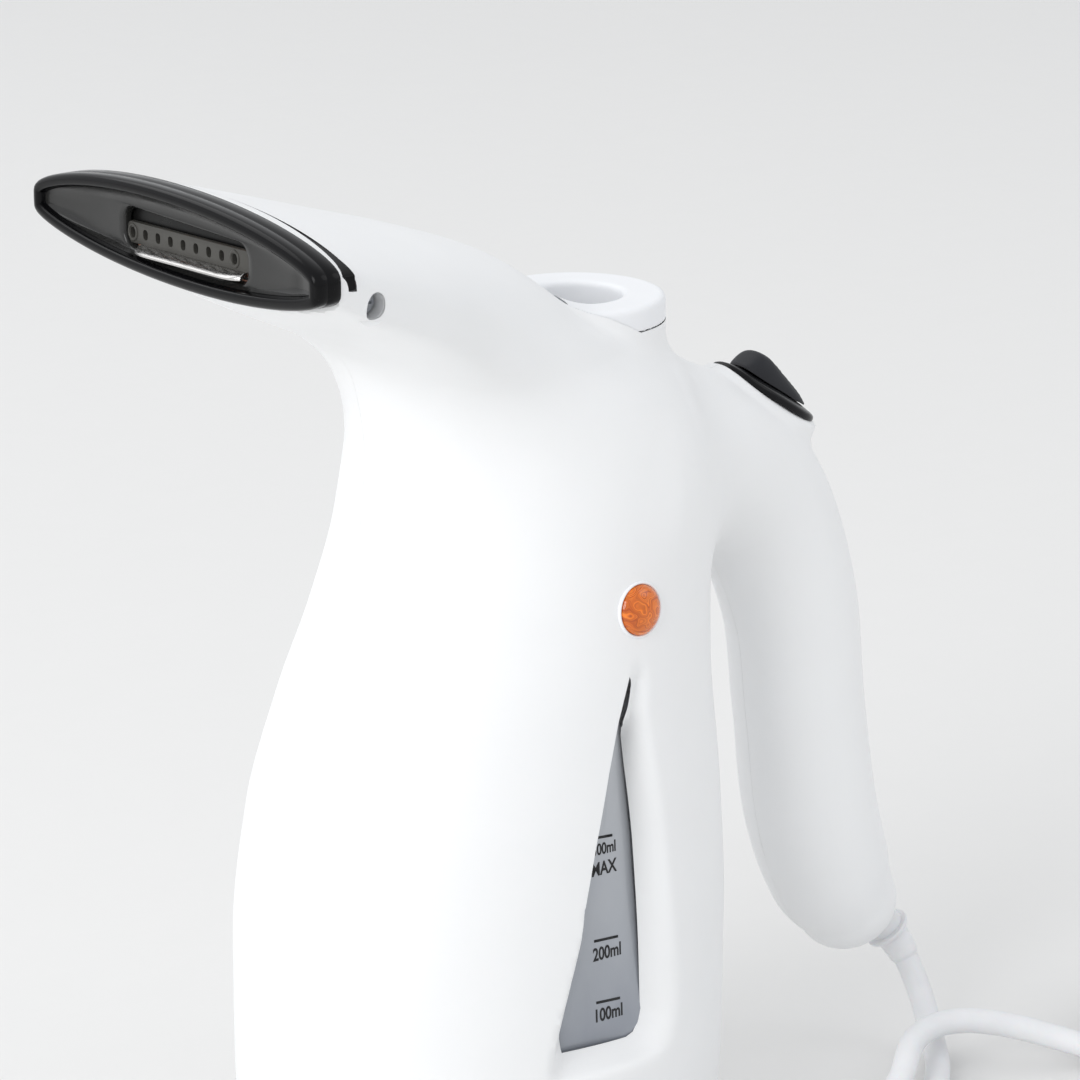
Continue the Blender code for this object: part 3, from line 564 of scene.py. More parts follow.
@dataclass(frozen=True)
class Lens(Finish):
    """The lamp's amber lens, whose melt swirls, with a little painted glow."""

    deep: tuple = (0.4, 0.07, 0.004)
    # Painted glow: how strongly the lens gives off light of its own.
    painted_glow: float = 0.12

    def draw(self, s: Sketch) -> None:
        """Write two amber tones pulled through each other, polish and a low painted glow."""
        bend = s.noise(4.5, 1.0)
        pulled = s.add("ShaderNodeVectorMath", {"operation": "MULTIPLY_ADD"}, _0=s.place)
        s.tree.links.new(bend, pulled.inputs[1])
        pulled.inputs[2].default_value = (0.4, 0.2, 0.7)
        veins = s.add("ShaderNodeTexNoise", Vector=pulled.outputs[0], Scale=0.2, Detail=2.0, Distortion=0.9)
        share = s.span(veins.outputs["Fac"], 0, 1, 0.38, 0.62)
        tone = s.blend(share, self.deep, self.colour)
        s.put("Base Color", tone)
        # Painted glow: the lens gives off a little light in its own amber tone.
        s.put("Emission Color", tone)
        s.put("Emission Strength", self.painted_glow)
        s.put("Roughness", s.sum(s.span(s.noise(1.0), 0.0, 0.04), self.roughness))
        s.put("Subsurface Weight", 0.3)
        s.put("Subsurface Scale", 0.003)
        s.put("Subsurface Radius", (1.0, 0.3, 0.05))
        s.put("Normal", s.height(s.noise(2.2, 2.0), 0.05, 0.6))
        s.put("Coat Weight", self.coat)


@dataclass(frozen=True)
class Jacket(Finish):
    """A cord's jacket: drawn plastic with a soft skin."""

    def draw(self, s: Sketch) -> None:
        """Write the jacket's tone, its dulled handling marks and its slight unevenness."""
        handled = s.noise(9.0, 3.0)
        fine = s.noise(0.45, 3.0)
        tone = s.blend(s.span(handled, 0, 1), shaded(self.colour, 0.97), shaded(self.colour, 1.02))
        s.put("Base Color", tone)
        s.put("Roughness", s.sum(s.span(handled, -0.04, 0.05), self.roughness))
        low = s.height(s.noise(3.5, 1.0), 0.05, 0.3)
        s.put("Normal", s.height(fine, self.grain_depth, 0.4, low))
        s.put("Subsurface Weight", 0.08)
        s.put("Subsurface Scale", 0.0015)


class Finishes(Enum):
    """Every finish on the steamer."""

    SHELL = Moulded("satin white plastic", "white_plastic", (0.875, 0.88, 0.885), 0.42, 0.35, 0.006, 0.006)
    COLLAR = Moulded("white plastic collar", "white_plastic", (0.86, 0.87, 0.89), 0.45, 0.3, 0.006, 0.006)
    BEZEL = Finish(
        "gloss black bezel", "gloss_black", (0.004, 0.004, 0.0045), 0.16, 0.8, 0.004, 0.02, shine=0.14
    )
    PLATE = Finish(
        "black switch plate", "gloss_black", (0.005, 0.005, 0.006), 0.22, 0.5, 0.006, 0.02, shine=0.16
    )
    SLIDE = Finish("matt black slide", "matt_black", (0.022, 0.023, 0.027), 0.5, 0.3, 0.02, 0.03, 0.0, 0.22)
    DISH = Finish("smoked dish", "smoked_plastic", (0.018, 0.018, 0.0175), 0.22, 6.0, 0.006, 0.12, 0.0, 0.4)
    GRILLE = Finish("dark steam plate", "dark_plastic", (0.06, 0.058, 0.052), 0.35, 0.6, 0.02, 0.1, 0.0, 0.3)
    # Painted shade: near black, for the sheet behind the steam plate.
    PAINTED_SHADE_SHEET = Finish(
        "painted shade behind slots", "dark_plastic", (0.006, 0.006, 0.006), 0.3, 1.0, 0.015, 0.1, shine=0.15
    )
    LIP = Metal("worn steel lip", "steel", (0.62, 0.61, 0.6), 0.24, 0.5, 0.03, lines=(1.0, 9.0, 1.0))
    SCREW = Metal("plated screw", "steel", (0.62, 0.64, 0.67), 0.34, 0.5, 0.01, lines=(3.0, 1.0, 3.0))
    STEEL = Metal("pressed steel", "steel", (0.55, 0.55, 0.54), 0.32, 0.5, 0.01, lines=(6.0, 1.0, 1.0))
    ALUMINIUM = Metal(
        "cast aluminium", "heater_aluminium", (0.66, 0.66, 0.65), 0.45, 0.9, 0.05, lines=(1.0, 1.0, 1.0)
    )
    # The pane's upper colour; the darker tone towards its foot is painted shade.
    PANE = Pane("grey water window", "clear_pane", (0.6, 0.62, 0.65), 0.2, coat=0.15)
    INK = Finish("black printing", "matt_black", (0.004, 0.004, 0.005), 0.5, 0.2, 0.004, 0.02)
    TANK = Moulded("milky tank", "milky_plastic", (0.72, 0.75, 0.79), 0.3, 0.8, 0.01, 0.02, depth=0.3)
    LAMP = Lens("amber lens", "amber_lens", (0.78, 0.2, 0.015), 0.09, coat=0.3)
    GLASS = Clear("lamp glass", "lamp_glass", (0.95, 0.8, 0.65), 0.03, grain_depth=0.01)
    JACKET = Jacket("pale cord jacket", "pale_plastic", (0.8, 0.805, 0.82), 0.48, 0.3, 0.01)
    RELIEF = Jacket("pale strain relief", "pale_plastic", (0.8, 0.805, 0.82), 0.5, 0.3, 0.01)
    PLUG = Moulded("pale plug body", "pale_plastic", (0.8, 0.81, 0.83), 0.4, 0.35, 0.012, 0.01)
    TIE = Finish("black cord tie", "matt_black", (0.03, 0.03, 0.033), 0.75, 0.5, 0.12, 0.1)
    PIN = Metal("nickel pin", "steel", (0.66, 0.65, 0.62), 0.22, 0.4, 0.008, lines=(1.0, 10.0, 1.0))
    BASE = Moulded("white base plastic", "white_plastic", (0.84, 0.855, 0.88), 0.48, 0.5, 0.012, 0.01)
    FOOT = Finish("foot rubber", "foot_rubber", (0.05, 0.05, 0.052), 0.8, 0.4, 0.05, 0.1)
    SILICONE = Moulded("silicone seal", "silicone", (0.75, 0.36, 0.26), 0.55, 0.6, 0.02, 0.05, depth=0.2)
    DARK = Finish("dark moulded plastic", "dark_plastic", (0.07, 0.07, 0.075), 0.5, 0.5, 0.02, 0.08)
    BLACK = Finish("black moulded plastic", "matt_black", (0.02, 0.02, 0.022), 0.5, 0.4, 0.02, 0.05)
    RESIN = Finish("brown resin", "brown_resin", (0.28, 0.15, 0.07), 0.45, 0.7, 0.02, 0.12)
    LIVE = Jacket("brown insulation", "wire_brown", (0.24, 0.1, 0.04), 0.45, 0.4, 0.01)
    NEUTRAL = Jacket("blue insulation", "wire_blue", (0.06, 0.14, 0.5), 0.45, 0.4, 0.01)


# The finish of each solid that keeps its own shape.
CARRIED = {
    Finishes.BASE: ("base_cover",),
    Finishes.STEEL: (
        "base_screw_left", "base_screw_right", "heating_element", "heater_clamp", "thermal_fuse",
    ),
    Finishes.FOOT: ("foot_1", "foot_2", "foot_3", "foot_4"),
    Finishes.ALUMINIUM: ("heater_cup",),
    Finishes.SILICONE: ("filler_seal", "heater_gasket", "nozzle_seal"),
    Finishes.TANK: ("water_tank", "filler_tube", "steam_pipe"),
    Finishes.DARK: ("steam_manifold", "switch_body"),
    Finishes.BLACK: ("switch_slider", "cord_clamp"),
    Finishes.RESIN: ("thermostat", "terminal_block"),
    Finishes.LIVE: ("wire_live",),
    Finishes.NEUTRAL: ("wire_neutral",),
    Finishes.GLASS: ("neon_lamp",),
    Finishes.COLLAR: ("lamp_holder",),
}


# ------------------------------------------------------------------ the body's form


def table(*rows: tuple) -> field:
    """A dataclass field that holds rows of sizes."""
    return field(default_factory=lambda: np.array(rows, float))


@dataclass
class BodyForm:
    """The outside of the two shells as one field: negative inside, about a distance in millimetres near it.

    The body is stacked superellipses, the spout is sections across X with a boat-shaped front, and the
    handle is round about a bent axis. Soft minimums join them with fillets.
    """

    # Height, centre x, half length, half width, power.
    body: np.ndarray = table(
        (0, -21, 55.0, 43.5, 2.25),
        (30, -21.5, 57.3, 45.3, 2.25),
        (60, -21.3, 57.5, 45.2, 2.25),
        (90, -20, 55.3, 43.8, 2.2),
        (115, -17, 50.5, 41, 2.15),
        (135, -12.7, 46.5, 38.5, 2.1),
        (155, -9.8, 43.3, 36.0, 2.05),
        (170, -9.2, 42.3, 33, 2.0),
        (182, -12, 40.5, 28.5, 2.0),
        (192, -18, 36, 22, 2.0),
    )
    # X, side height, rise, drop, half width, power, boat shape.
    spout: np.ndarray = table(
        (-96, 225.4, 11.0, 9.0, 54.3, 4.6, 0.45),
        (-85, 221.5, 12.1, 12.0, 50.2, 4.2, 0.42),
        (-59, 211.3, 14.9, 14.5, 41.5, 3.2, 0.3),
        (-40, 203, 17.6, 20, 35.0, 2.6, 0.15),
        (-20, 191, 21.3, 25, 31.5, 2.2, 0.05),
        (0, 176, 22.0, 26, 30.0, 2.0, 0.0),
        (16, 164, 20, 24, 28, 2.0, 0.0),
    )
    # Axis x and z, half thickness across the axis, half width.
    handle: np.ndarray = table(
        (8, 158, 27, 30),
        (34, 158, 21, 22),
        (55, 145.5, 17.8, 17),
        (67, 120, 16.3, 15.5),
        (71, 92, 15.8, 15.3),
        (75, 66, 16.0, 15.6),
        (81.5, 47, 15.0, 14.6),
        (87, 38, 12.5, 12.5),
    )
    switch: tuple = (59.0, 169.0, math.radians(33.0))
    collar: tuple = (5.0, 20.0, 200.0)
    spout_front: float = -93.5
    # The window's pane, and how far its soft right-hand side reaches at a height.
    pane: np.ndarray = table(
        (-10.0, 124.5), (-13.9, 115.3), (-17.5, 104.6), (-21.9, 90.0), (-25.7, 75.4), (-28.0, 60.0),
        (-29.2, 45.1), (-28.6, 41.5), (-10.4, 40.6), (-8.4, 41.2), (-6.9, 42.9), (-6.0, 46.0), (-6.6, 59.6),
        (-8.1, 87.7), (-9.6, 104.3), (-10.4, 116.8), (-9.6, 123.4),
    )
    flare: np.ndarray = table((38.0, 9.0), (50.0, 9.5), (83.0, 7.5), (110.0, 6.0), (127.0, 5.5))
    pane_foot: tuple = (42.0, -39.6, 0.05)
    step: float = 0.5
    corner: tuple = (-32.0, 18.0)

    def __post_init__(self) -> None:
        """Lay out the handle's axis over the side view once, as a map to read values from."""
        count = (int(144 / self.step), int(184 / self.step))
        x = self.corner[0] + self.step * np.arange(count[0])[:, None]
        z = self.corner[1] + self.step * np.arange(count[1])[None, :]
        self._map = self._nearest(x + 0 * z, z + 0 * x)

    def _nearest(self, x: np.ndarray, z: np.ndarray) -> np.ndarray:
        """Offset from the handle's axis, overshoot past its ends, and its two radii, in the side view.

        The axis is a cubic through the handle's rows in short chords, and each place takes its nearest one.
        """
        rows = self.handle
        chord = np.r_[0, np.cumsum(np.hypot(*np.diff(rows[:, :2], axis=0).T))]
        slope = np.gradient(rows, chord, axis=0)
        slope[1:-1] = (rows[2:] - rows[:-2]) / (chord[2:] - chord[:-2])[:, None]
        at = np.linspace(0, chord[-1], 24 * (len(rows) - 1) + 1)
        k = np.clip(np.searchsorted(chord, at, side="right") - 1, 0, len(rows) - 2)
        h = (chord[k + 1] - chord[k])[:, None]
        t = (at - chord[k])[:, None] / h
        axis = rows[k] * (1 + 2 * t) * (1 - t) ** 2 + h * slope[k] * t * (1 - t) ** 2
        axis += rows[k + 1] * t * t * (3 - 2 * t) + h * slope[k + 1] * t * t * (t - 1)
        best = np.full(x.shape, 1e9)
        found = np.zeros((4, *x.shape))
        for a, b in zip(axis[:-1], axis[1:]):
            size = np.hypot(*(b - a)[:2])
            ux, uz = (b - a)[:2] / size
            dx, dz = x - a[0], z - a[1]
            along = dx * ux + dz * uz
            held = np.clip(along, 0, size)
            offset, over = dx * uz - dz * ux, along - held
            gap = offset**2 + over**2
            near = gap < best
            best = np.where(near, gap, best)
            share = held / size
            thick, wide = (a[k] + share * (b[k] - a[k]) for k in (2, 3))
            for row, value in enumerate((offset, over, thick, wide)):
                found[row] = np.where(near, value, found[row])
        last = np.hypot(x - axis[-1, 0], z - axis[-1, 1]) <= np.hypot(x - axis[0, 0], z - axis[0, 1])
        found[1] = np.where(last, np.maximum(found[1], 0) / 11.0, np.maximum(-found[1], 0) / 20.0)
        return found

    def _from_map(self, x: np.ndarray, z: np.ndarray) -> np.ndarray:
        """The handle's map read between its grid points, in straight lines each way."""
        x, z = np.broadcast_arrays(x, z)
        rows, columns = self._map.shape[1:]
        u = np.clip((x - self.corner[0]) / self.step, 0, rows - 1.001)
        v = np.clip((z - self.corner[1]) / self.step, 0, columns - 1.001)
        i, j = u.astype(int), v.astype(int)
        u, v, m = u - i, v - j, self._map
        low = m[:, i, j] * (1 - u) + m[:, i + 1, j] * u
        return low * (1 - v) + (m[:, i, j + 1] * (1 - u) + m[:, i + 1, j + 1] * u) * v

    def of_body(self, x: np.ndarray, y: np.ndarray, z: np.ndarray) -> np.ndarray:
        """The body: how far a point's superellipse radius is from 1, times the mean half size."""
        centre, half_x, half_y, power = (monotone(z, self.body[:, 0], self.body[:, k]) for k in range(1, 5))
        reach = (np.abs((x - centre) / half_x) ** power + np.abs(y / half_y) ** power + 1e-12) ** (1 / power)
        gap = (reach - 1) * np.sqrt(half_x * half_y)
        return soft_max(soft_max(gap, -z, 5.0), z - 189, 6.0)

    def of_spout(self, x: np.ndarray, y: np.ndarray, z: np.ndarray) -> np.ndarray:
        """The spout: a superellipse across X whose height falls away with the square of y."""
        side, rise, drop, half, power, boat = (
            monotone(x, self.spout[:, 0], self.spout[:, k]) for k in range(1, 7)
        )
        up = z - side
        tall = np.where(up > 0, rise, drop)
        out = np.clip(np.abs(y / half), 0, 1.2)
        reach = (np.abs(up / (tall * (1 - boat * out**2))) ** power + out**power + 1e-12) ** (1 / power)
        gap = (reach - 1) * np.sqrt(tall * half) * 0.75
        return soft_max(soft_max(gap, self.spout_front - x, 0.6), x - 16, 8.0)

    def of_handle(self, x: np.ndarray, y: np.ndarray, z: np.ndarray) -> np.ndarray:
        """The handle: an ellipse about its axis, rounded off past the ends."""
        offset, over, thick, wide = self._from_map(x, z)
        return (np.sqrt((offset / thick) ** 2 + (y / wide) ** 2 + over**2) - 1) * np.minimum(thick, wide)

    def of_pedestal(self, x: np.ndarray, y: np.ndarray, z: np.ndarray) -> np.ndarray:
        """The raised oval under the switch, with a top that falls towards its sides."""
        sx, sz, slope = self.switch
        u = (x - sx) * math.cos(slope) - (z - sz) * math.sin(slope)
        w = (x - sx) * math.sin(slope) + (z - sz) * math.cos(slope)
        gap = ((np.abs(u / 16.0) ** 2.4 + np.abs(y / 10.5) ** 2.4 + 1e-12) ** (1 / 2.4) - 1) * 10.5
        return soft_max(soft_max(gap, w + y * y / 32.0, 1.0), -w - 14, 2.0)

    def pane_y(self, z: np.ndarray) -> np.ndarray:
        """Where the pane's front is, at a height: it leans with the shell."""
        return self.pane_foot[1] + self.pane_foot[2] * (z - self.pane_foot[0])

    def past_pane(self, x: np.ndarray, z: np.ndarray) -> np.ndarray:
        """Distance outside the pane's outline in the side view, negative inside it."""
        corners = self.pane
        nearest = np.full(np.broadcast(x, z).shape, 1e9)
        inside = np.zeros(nearest.shape, bool)
        for (ax, az), (bx, bz) in zip(corners, np.roll(corners, -1, axis=0)):
            square = (bx - ax) ** 2 + (bz - az) ** 2
            t = np.clip(((x - ax) * (bx - ax) + (z - az) * (bz - az)) / square, 0, 1)
            nearest = np.minimum(nearest, np.hypot(x - ax - t * (bx - ax), z - az - t * (bz - az)))
            crossing = (az > z) != (bz > z)
            inside ^= crossing & (x < (bx - ax) * (z - az) / (bz - az + 1e-12) + ax)
        return np.where(inside, -nearest, nearest)

    def recess(self, x: np.ndarray, y: np.ndarray, z: np.ndarray) -> np.ndarray:
        """How deep the window's soft recess lies below the body: full at the pane, none a flare away from it.

        The side is a quarter sine, so it leaves the shell tangentially. Left of the pane it stops short.
        """
        width = np.interp(z, self.flare[:, 0], self.flare[:, 1])
        share = np.clip((self.past_pane(x, z) + 1.0) / (width + 1.0), 0, 1)
        edge_x, edge_z = self.pane[0] - self.pane[4]
        aside = (x - self.pane[4, 0]) * edge_z - (z - self.pane[4, 1]) * edge_x
        right_of_edge = aside / math.hypot(edge_x, edge_z)
        kept = smooth_step(right_of_edge, 0.6, 4.5) * smooth_step(z, 35.0, 38.5)
        return 6.8 * (1 - np.sin(share * math.pi / 2)) * kept * (y < 0)

    def outside(self, x: np.ndarray, y: np.ndarray, z: np.ndarray) -> np.ndarray:
        """The whole form with its collar boss and filler hole, and without the window."""
        form = soft_min(self.of_body(x, y, z), self.of_spout(x, y, z), 14.0)
        form = soft_min(form, self.of_handle(x, y, z), 9.0)
        form = soft_min(form, self.of_pedestal(x, y, z), 2.0)
        cx, radius, top = self.collar
        from_axis = np.sqrt((x - cx) ** 2 + y**2)
        boss = soft_max(from_axis - radius, np.abs(z - top + 10) - 10, 1.6)
        form = soft_min(form, boss, 4.0)
        return soft_max(form, -soft_max(from_axis - 10.5, top - 30 - z, 1.0), 1.5)

    def skin(self, x: np.ndarray, y: np.ndarray, z: np.ndarray) -> np.ndarray:
        """The outside with the window's recess pressed into it."""
        return self.outside(x, y, z) + self.recess(x, y, z)

    def slopes(self, points: Points, field_of: Callable, reach: float = 0.05) -> Points:
        """The field's gradient at points, from differences each way."""
        steps = np.eye(3) * reach
        slopes = [(field_of(*(points + s).T) - field_of(*(points - s).T)) / (2 * reach) for s in steps]
        return np.stack(slopes, axis=1)

    def settled(self, points: Points, field_of: Callable, rounds: int = 3) -> Points:
        """Points moved onto the zero level by Newton steps along the gradient."""
        for _ in range(rounds):
            slope = self.slopes(points, field_of)
            gap = field_of(*points.T) / np.maximum((slope**2).sum(axis=1), 1e-6)
            points = points - slope * np.clip(gap, -3, 3)[:, None]
        return points

    def solid(
        self, name: str, field_of: Callable, low: Sequence, high: Sequence, cell: float
    ) -> bpy.types.Object:
        """A closed mesh of a field's zero level.

        Each grid cell that the level crosses gets one point, at the mean of its edges' crossings, and
        each crossed grid edge gets one quad between the four cells around it. The points then settle onto
        the level.

        Args:
            name: the new object's name.
            field_of: the field, as a function of x, y and z.
            low: the grid's lowest corner.
            high: its highest corner.
            cell: the grid's step.

        Returns:
            The new object.
        """
        count = [int(round((b - a) / cell)) + 1 for a, b in zip(low, high)]
        lines = [a + cell * np.arange(n) for a, n in zip(low, count)]
        value = field_of(lines[0][:, None, None], lines[1][None, :, None], lines[2][None, None, :])
        value = np.broadcast_to(value, count)
        total = np.zeros((3, *(n - 1 for n in count)))
        hits = np.zeros(total.shape[1:])
        window = [slice(0, -1), slice(1, None)]
        for axis in range(3):
            rest = [a for a in range(3) if a != axis]
            for i in (0, 1):
                for j in (0, 1):
                    at = [None, None, None]
                    at[axis], at[rest[0]], at[rest[1]] = slice(0, -1), window[i], window[j]
                    to = list(at)
                    to[axis] = slice(1, None)
                    a, b = value[tuple(at)], value[tuple(to)]
                    crossed = (a < 0) != (b < 0)
                    share = np.where(crossed, a / np.where(crossed, a - b, 1), 0)
                    total[axis] += share
                    total[rest[0]] += crossed * i
                    total[rest[1]] += crossed * j
                    hits += crossed
        active = hits > 0
        number = np.full(active.shape, -1)
        number[active] = np.arange(active.sum())
        points = (np.argwhere(active) + (total[:, active] / hits[active]).T) * cell + np.array(low)
        quads = []
        for axis in range(3):
            rest = [a for a in range(3) if a != axis]
            at = [slice(1, -1)] * 3
            at[axis] = slice(0, -1)
            to = list(at)
            to[axis] = slice(1, None)
            a, b = value[tuple(at)], value[tuple(to)]
            crossed = (a < 0) != (b < 0)
            base = np.argwhere(crossed)
            base[:, rest] += 1
            around = []
            for i, j in ((0, 0), (1, 0), (1, 1), (0, 1)):
                cells = base.copy()
                cells[:, rest[0]] -= i
                cells[:, rest[1]] -= j
                around.append(number[tuple(cells.T)])
            quad = np.stack(around, axis=1)
            turned = (a < 0)[crossed] if axis != 1 else ~(a < 0)[crossed]
            quad[turned] = quad[turned][:, ::-1]
            quads.append(quad)
        quads = np.concatenate(quads)
        return mesh_object(name, self.settled(points, field_of), [quads[(quads >= 0).all(axis=1)]])

    def true_normals(self, obj: bpy.types.Object, field_of: Callable) -> None:
        """Give what lies on the field the field's own normals, so cuts leave no marks beside it."""
        mesh = obj.data
        co = np.empty(len(mesh.vertices) * 3, np.float32)
        mesh.vertices.foreach_get("co", co)
        points = co.reshape(-1, 3).astype(float) / MM
        on_skin = np.abs(field_of(*points.T)) < 0.03
        slope = self.slopes(points, field_of)
        slope /= np.maximum(np.linalg.norm(slope, axis=1), 1e-9)[:, None]
        corner = np.empty(len(mesh.loops), np.int32)
        mesh.loops.foreach_get("vertex_index", corner)
        owner = np.repeat(np.arange(len(mesh.polygons)), [p.loop_total for p in mesh.polygons])
        normal = np.empty(len(mesh.loops) * 3, np.float32)
        mesh.corner_normals.foreach_get("vector", normal)
        normal = normal.reshape(-1, 3)
        face = np.empty(len(mesh.polygons) * 3, np.float32)
        mesh.polygons.foreach_get("normal", face)
        face = face.reshape(-1, 3)
        off = np.bincount(owner, weights=~on_skin[corner], minlength=len(mesh.polygons)) > 0
        use = ~off[owner] & ((slope[corner] * face[owner]).sum(axis=1) > 0.7)
        normal[use] = slope[corner][use]
        mesh.normals_split_custom_set(normal.tolist())


# ------------------------------------------------------------------ shells and collar


@dataclass
class Shells:
    """The left and right shells and the filler collar, all cut from the same form."""

    form: BodyForm
    wall: float = 2.0
    cell: float = 1.25
    inner_cell: float = 3.0
    seam: float = 0.012
    lip_radius: float = 19.97
    lip_foot: float = 194.5
    lip_gap: float = 0.12
    lip_cell: float = 0.5
    # Half width, foot and top of the space in which the lip is worked out.
    lip_box: tuple = (22.0, 192.0, 202.0)
    # Radii of the hole in the shells, below the lip and round it.
    seat_radii: tuple = (19.0, 20.12)
    neck_radius: float = 18.8
    neck_foot: float = 188.0
    # The bore's radius, and the throat's outer radius, foot and top.
    throat: tuple = (10.5, 11.9, 166.5, 190.0)
    mouth: tuple = (-97.0, -88.0)
    exit: tuple = ((82.3, 0.0, 47.1), (111.0, 0.0, 17.0), 4.6)
    screw_hole: tuple = ((-81.9, -60.0, 219.2), (-81.9, -44.9, 219.2), 2.9)
    lamp_hole: tuple = ((-6.3, -46.0, 139.2), (-5.3, -30.0, 137.6), 5.75)

    def half(self, side: int) -> bpy.types.Object:
        """One shell: the form's half with its inside taken out and its openings cut."""
        form = self.form
        skin_of = form.skin if side < 0 else form.outside
        low = (-98.0, -56.0, -2.0) if side < 0 else (-98.0, -3.0, -2.0)
        high = (96.0, 3.0, 238.0) if side < 0 else (96.0, 56.0, 238.0)
        half = form.solid(
            "shell_left" if side < 0 else "shell_right",
            lambda x, y, z: np.maximum(skin_of(x, y, z), -side * y - 2.2),
            low,
            high,
            self.cell,
        )
        inside = form.solid(
            "inside",
            lambda x, y, z: np.maximum(skin_of(x, y, z) + self.wall, -side * y - 1.5),
            low,
            high,
            self.inner_cell,
        )
        cut(half, inside, self.beyond_seam(side), *self.openings(side))
        form.true_normals(smoothed(half, 30.0), skin_of)
        return placed(half, Finishes.SHELL, "left_shell" if side < 0 else "right_shell")

    def beyond_seam(self, side: int) -> bpy.types.Object:
        """The half space on the other side of the seam."""
        ys = (-self.seam, 70.0) if side < 0 else (-70.0, self.seam)
        return block("seam", (-120, ys[0], -10), (120, ys[1], 260))

    def openings(self, side: int) -> list:
        """Cutters for the mouth, the collar, the cord, the switch's stem, the base and one side's details."""
        cx, _, top = self.form.collar
        mouth = Nozzle.outline(self.form, self.wall)
        bore, seat = self.seat_radii
        ledge = self.lip_foot - self.lip_gap
        foot, over = self.neck_foot - 2, top + 6
        steps = [(0, foot), (bore, foot), (bore, ledge), (seat, ledge), (seat, over), (0, over)]
        cutters = [
            skin("mouth", [section_at(x, mouth) for x in self.mouth]),
            lathe("collar_seat", steps, (cx, 0)),
            turned_along("cord_way", *self.exit[:2], [(0, self.exit[2]), (42, self.exit[2])]),
            Switch().slot_cutter(),
            block("base_way", (-74, -40, -5), (32, 40, 6.6)),
        ]
        if side < 0:
            for name, (start, end, radius) in (("screw_way", self.screw_hole), ("lamp_way", self.lamp_hole)):
                cutters.append(turned_along(name, start, end, [(0, radius), (math.dist(start, end), radius)]))
            pane = self.form.pane
            rings = [np.column_stack([pane[:, 0], np.full(len(pane), y), pane[:, 1]]) for y in (-60.0, -30.0)]
            cutters.append(skin("window_way", rings))
        return cutters

    def collar(self) -> bpy.types.Object:
        """The filler collar: the form's own top inside the lip's radius, with a neck down into the shells."""
        cx, _, _ = self.form.collar

        def above_foot(x: np.ndarray, y: np.ndarray, z: np.ndarray) -> np.ndarray:
            """The form inside the lip's radius and above its foot."""
            tube = np.maximum(np.hypot(x - cx, y) - self.lip_radius, self.lip_foot - z)
            return np.maximum(self.form.outside(x, y, z), tube)

        reach, low, high = self.lip_box
        lip = self.form.solid(
            "lip", above_foot, (cx - reach, -reach, low), (cx + reach, reach, high), self.lip_cell
        )
        self.form.true_normals(smoothed(lip, 40.0), self.form.outside)
        outer, foot, head = self.neck_radius, self.neck_foot, self.lip_foot + 0.2
        bore, throat, bottom, top = self.throat
        neck = [(bore, foot), (outer, foot), (outer, head), (bore, head)]
        neck = smoothed(lathe("neck", neck, (cx, 0), 128))
        tube = [(bore, bottom), (throat, bottom), (throat, top), (bore, top)]
        tube = smoothed(lathe("throat", tube, (cx, 0), 96))
        return placed(joined("collar", lip, neck, tube), Finishes.COLLAR, "filler_collar")

    def build(self) -> None:
        """Make both shells and the collar."""
        for side in (-1, 1):
            self.half(side)
        self.collar()


# ------------------------------------------------------------------ nozzle


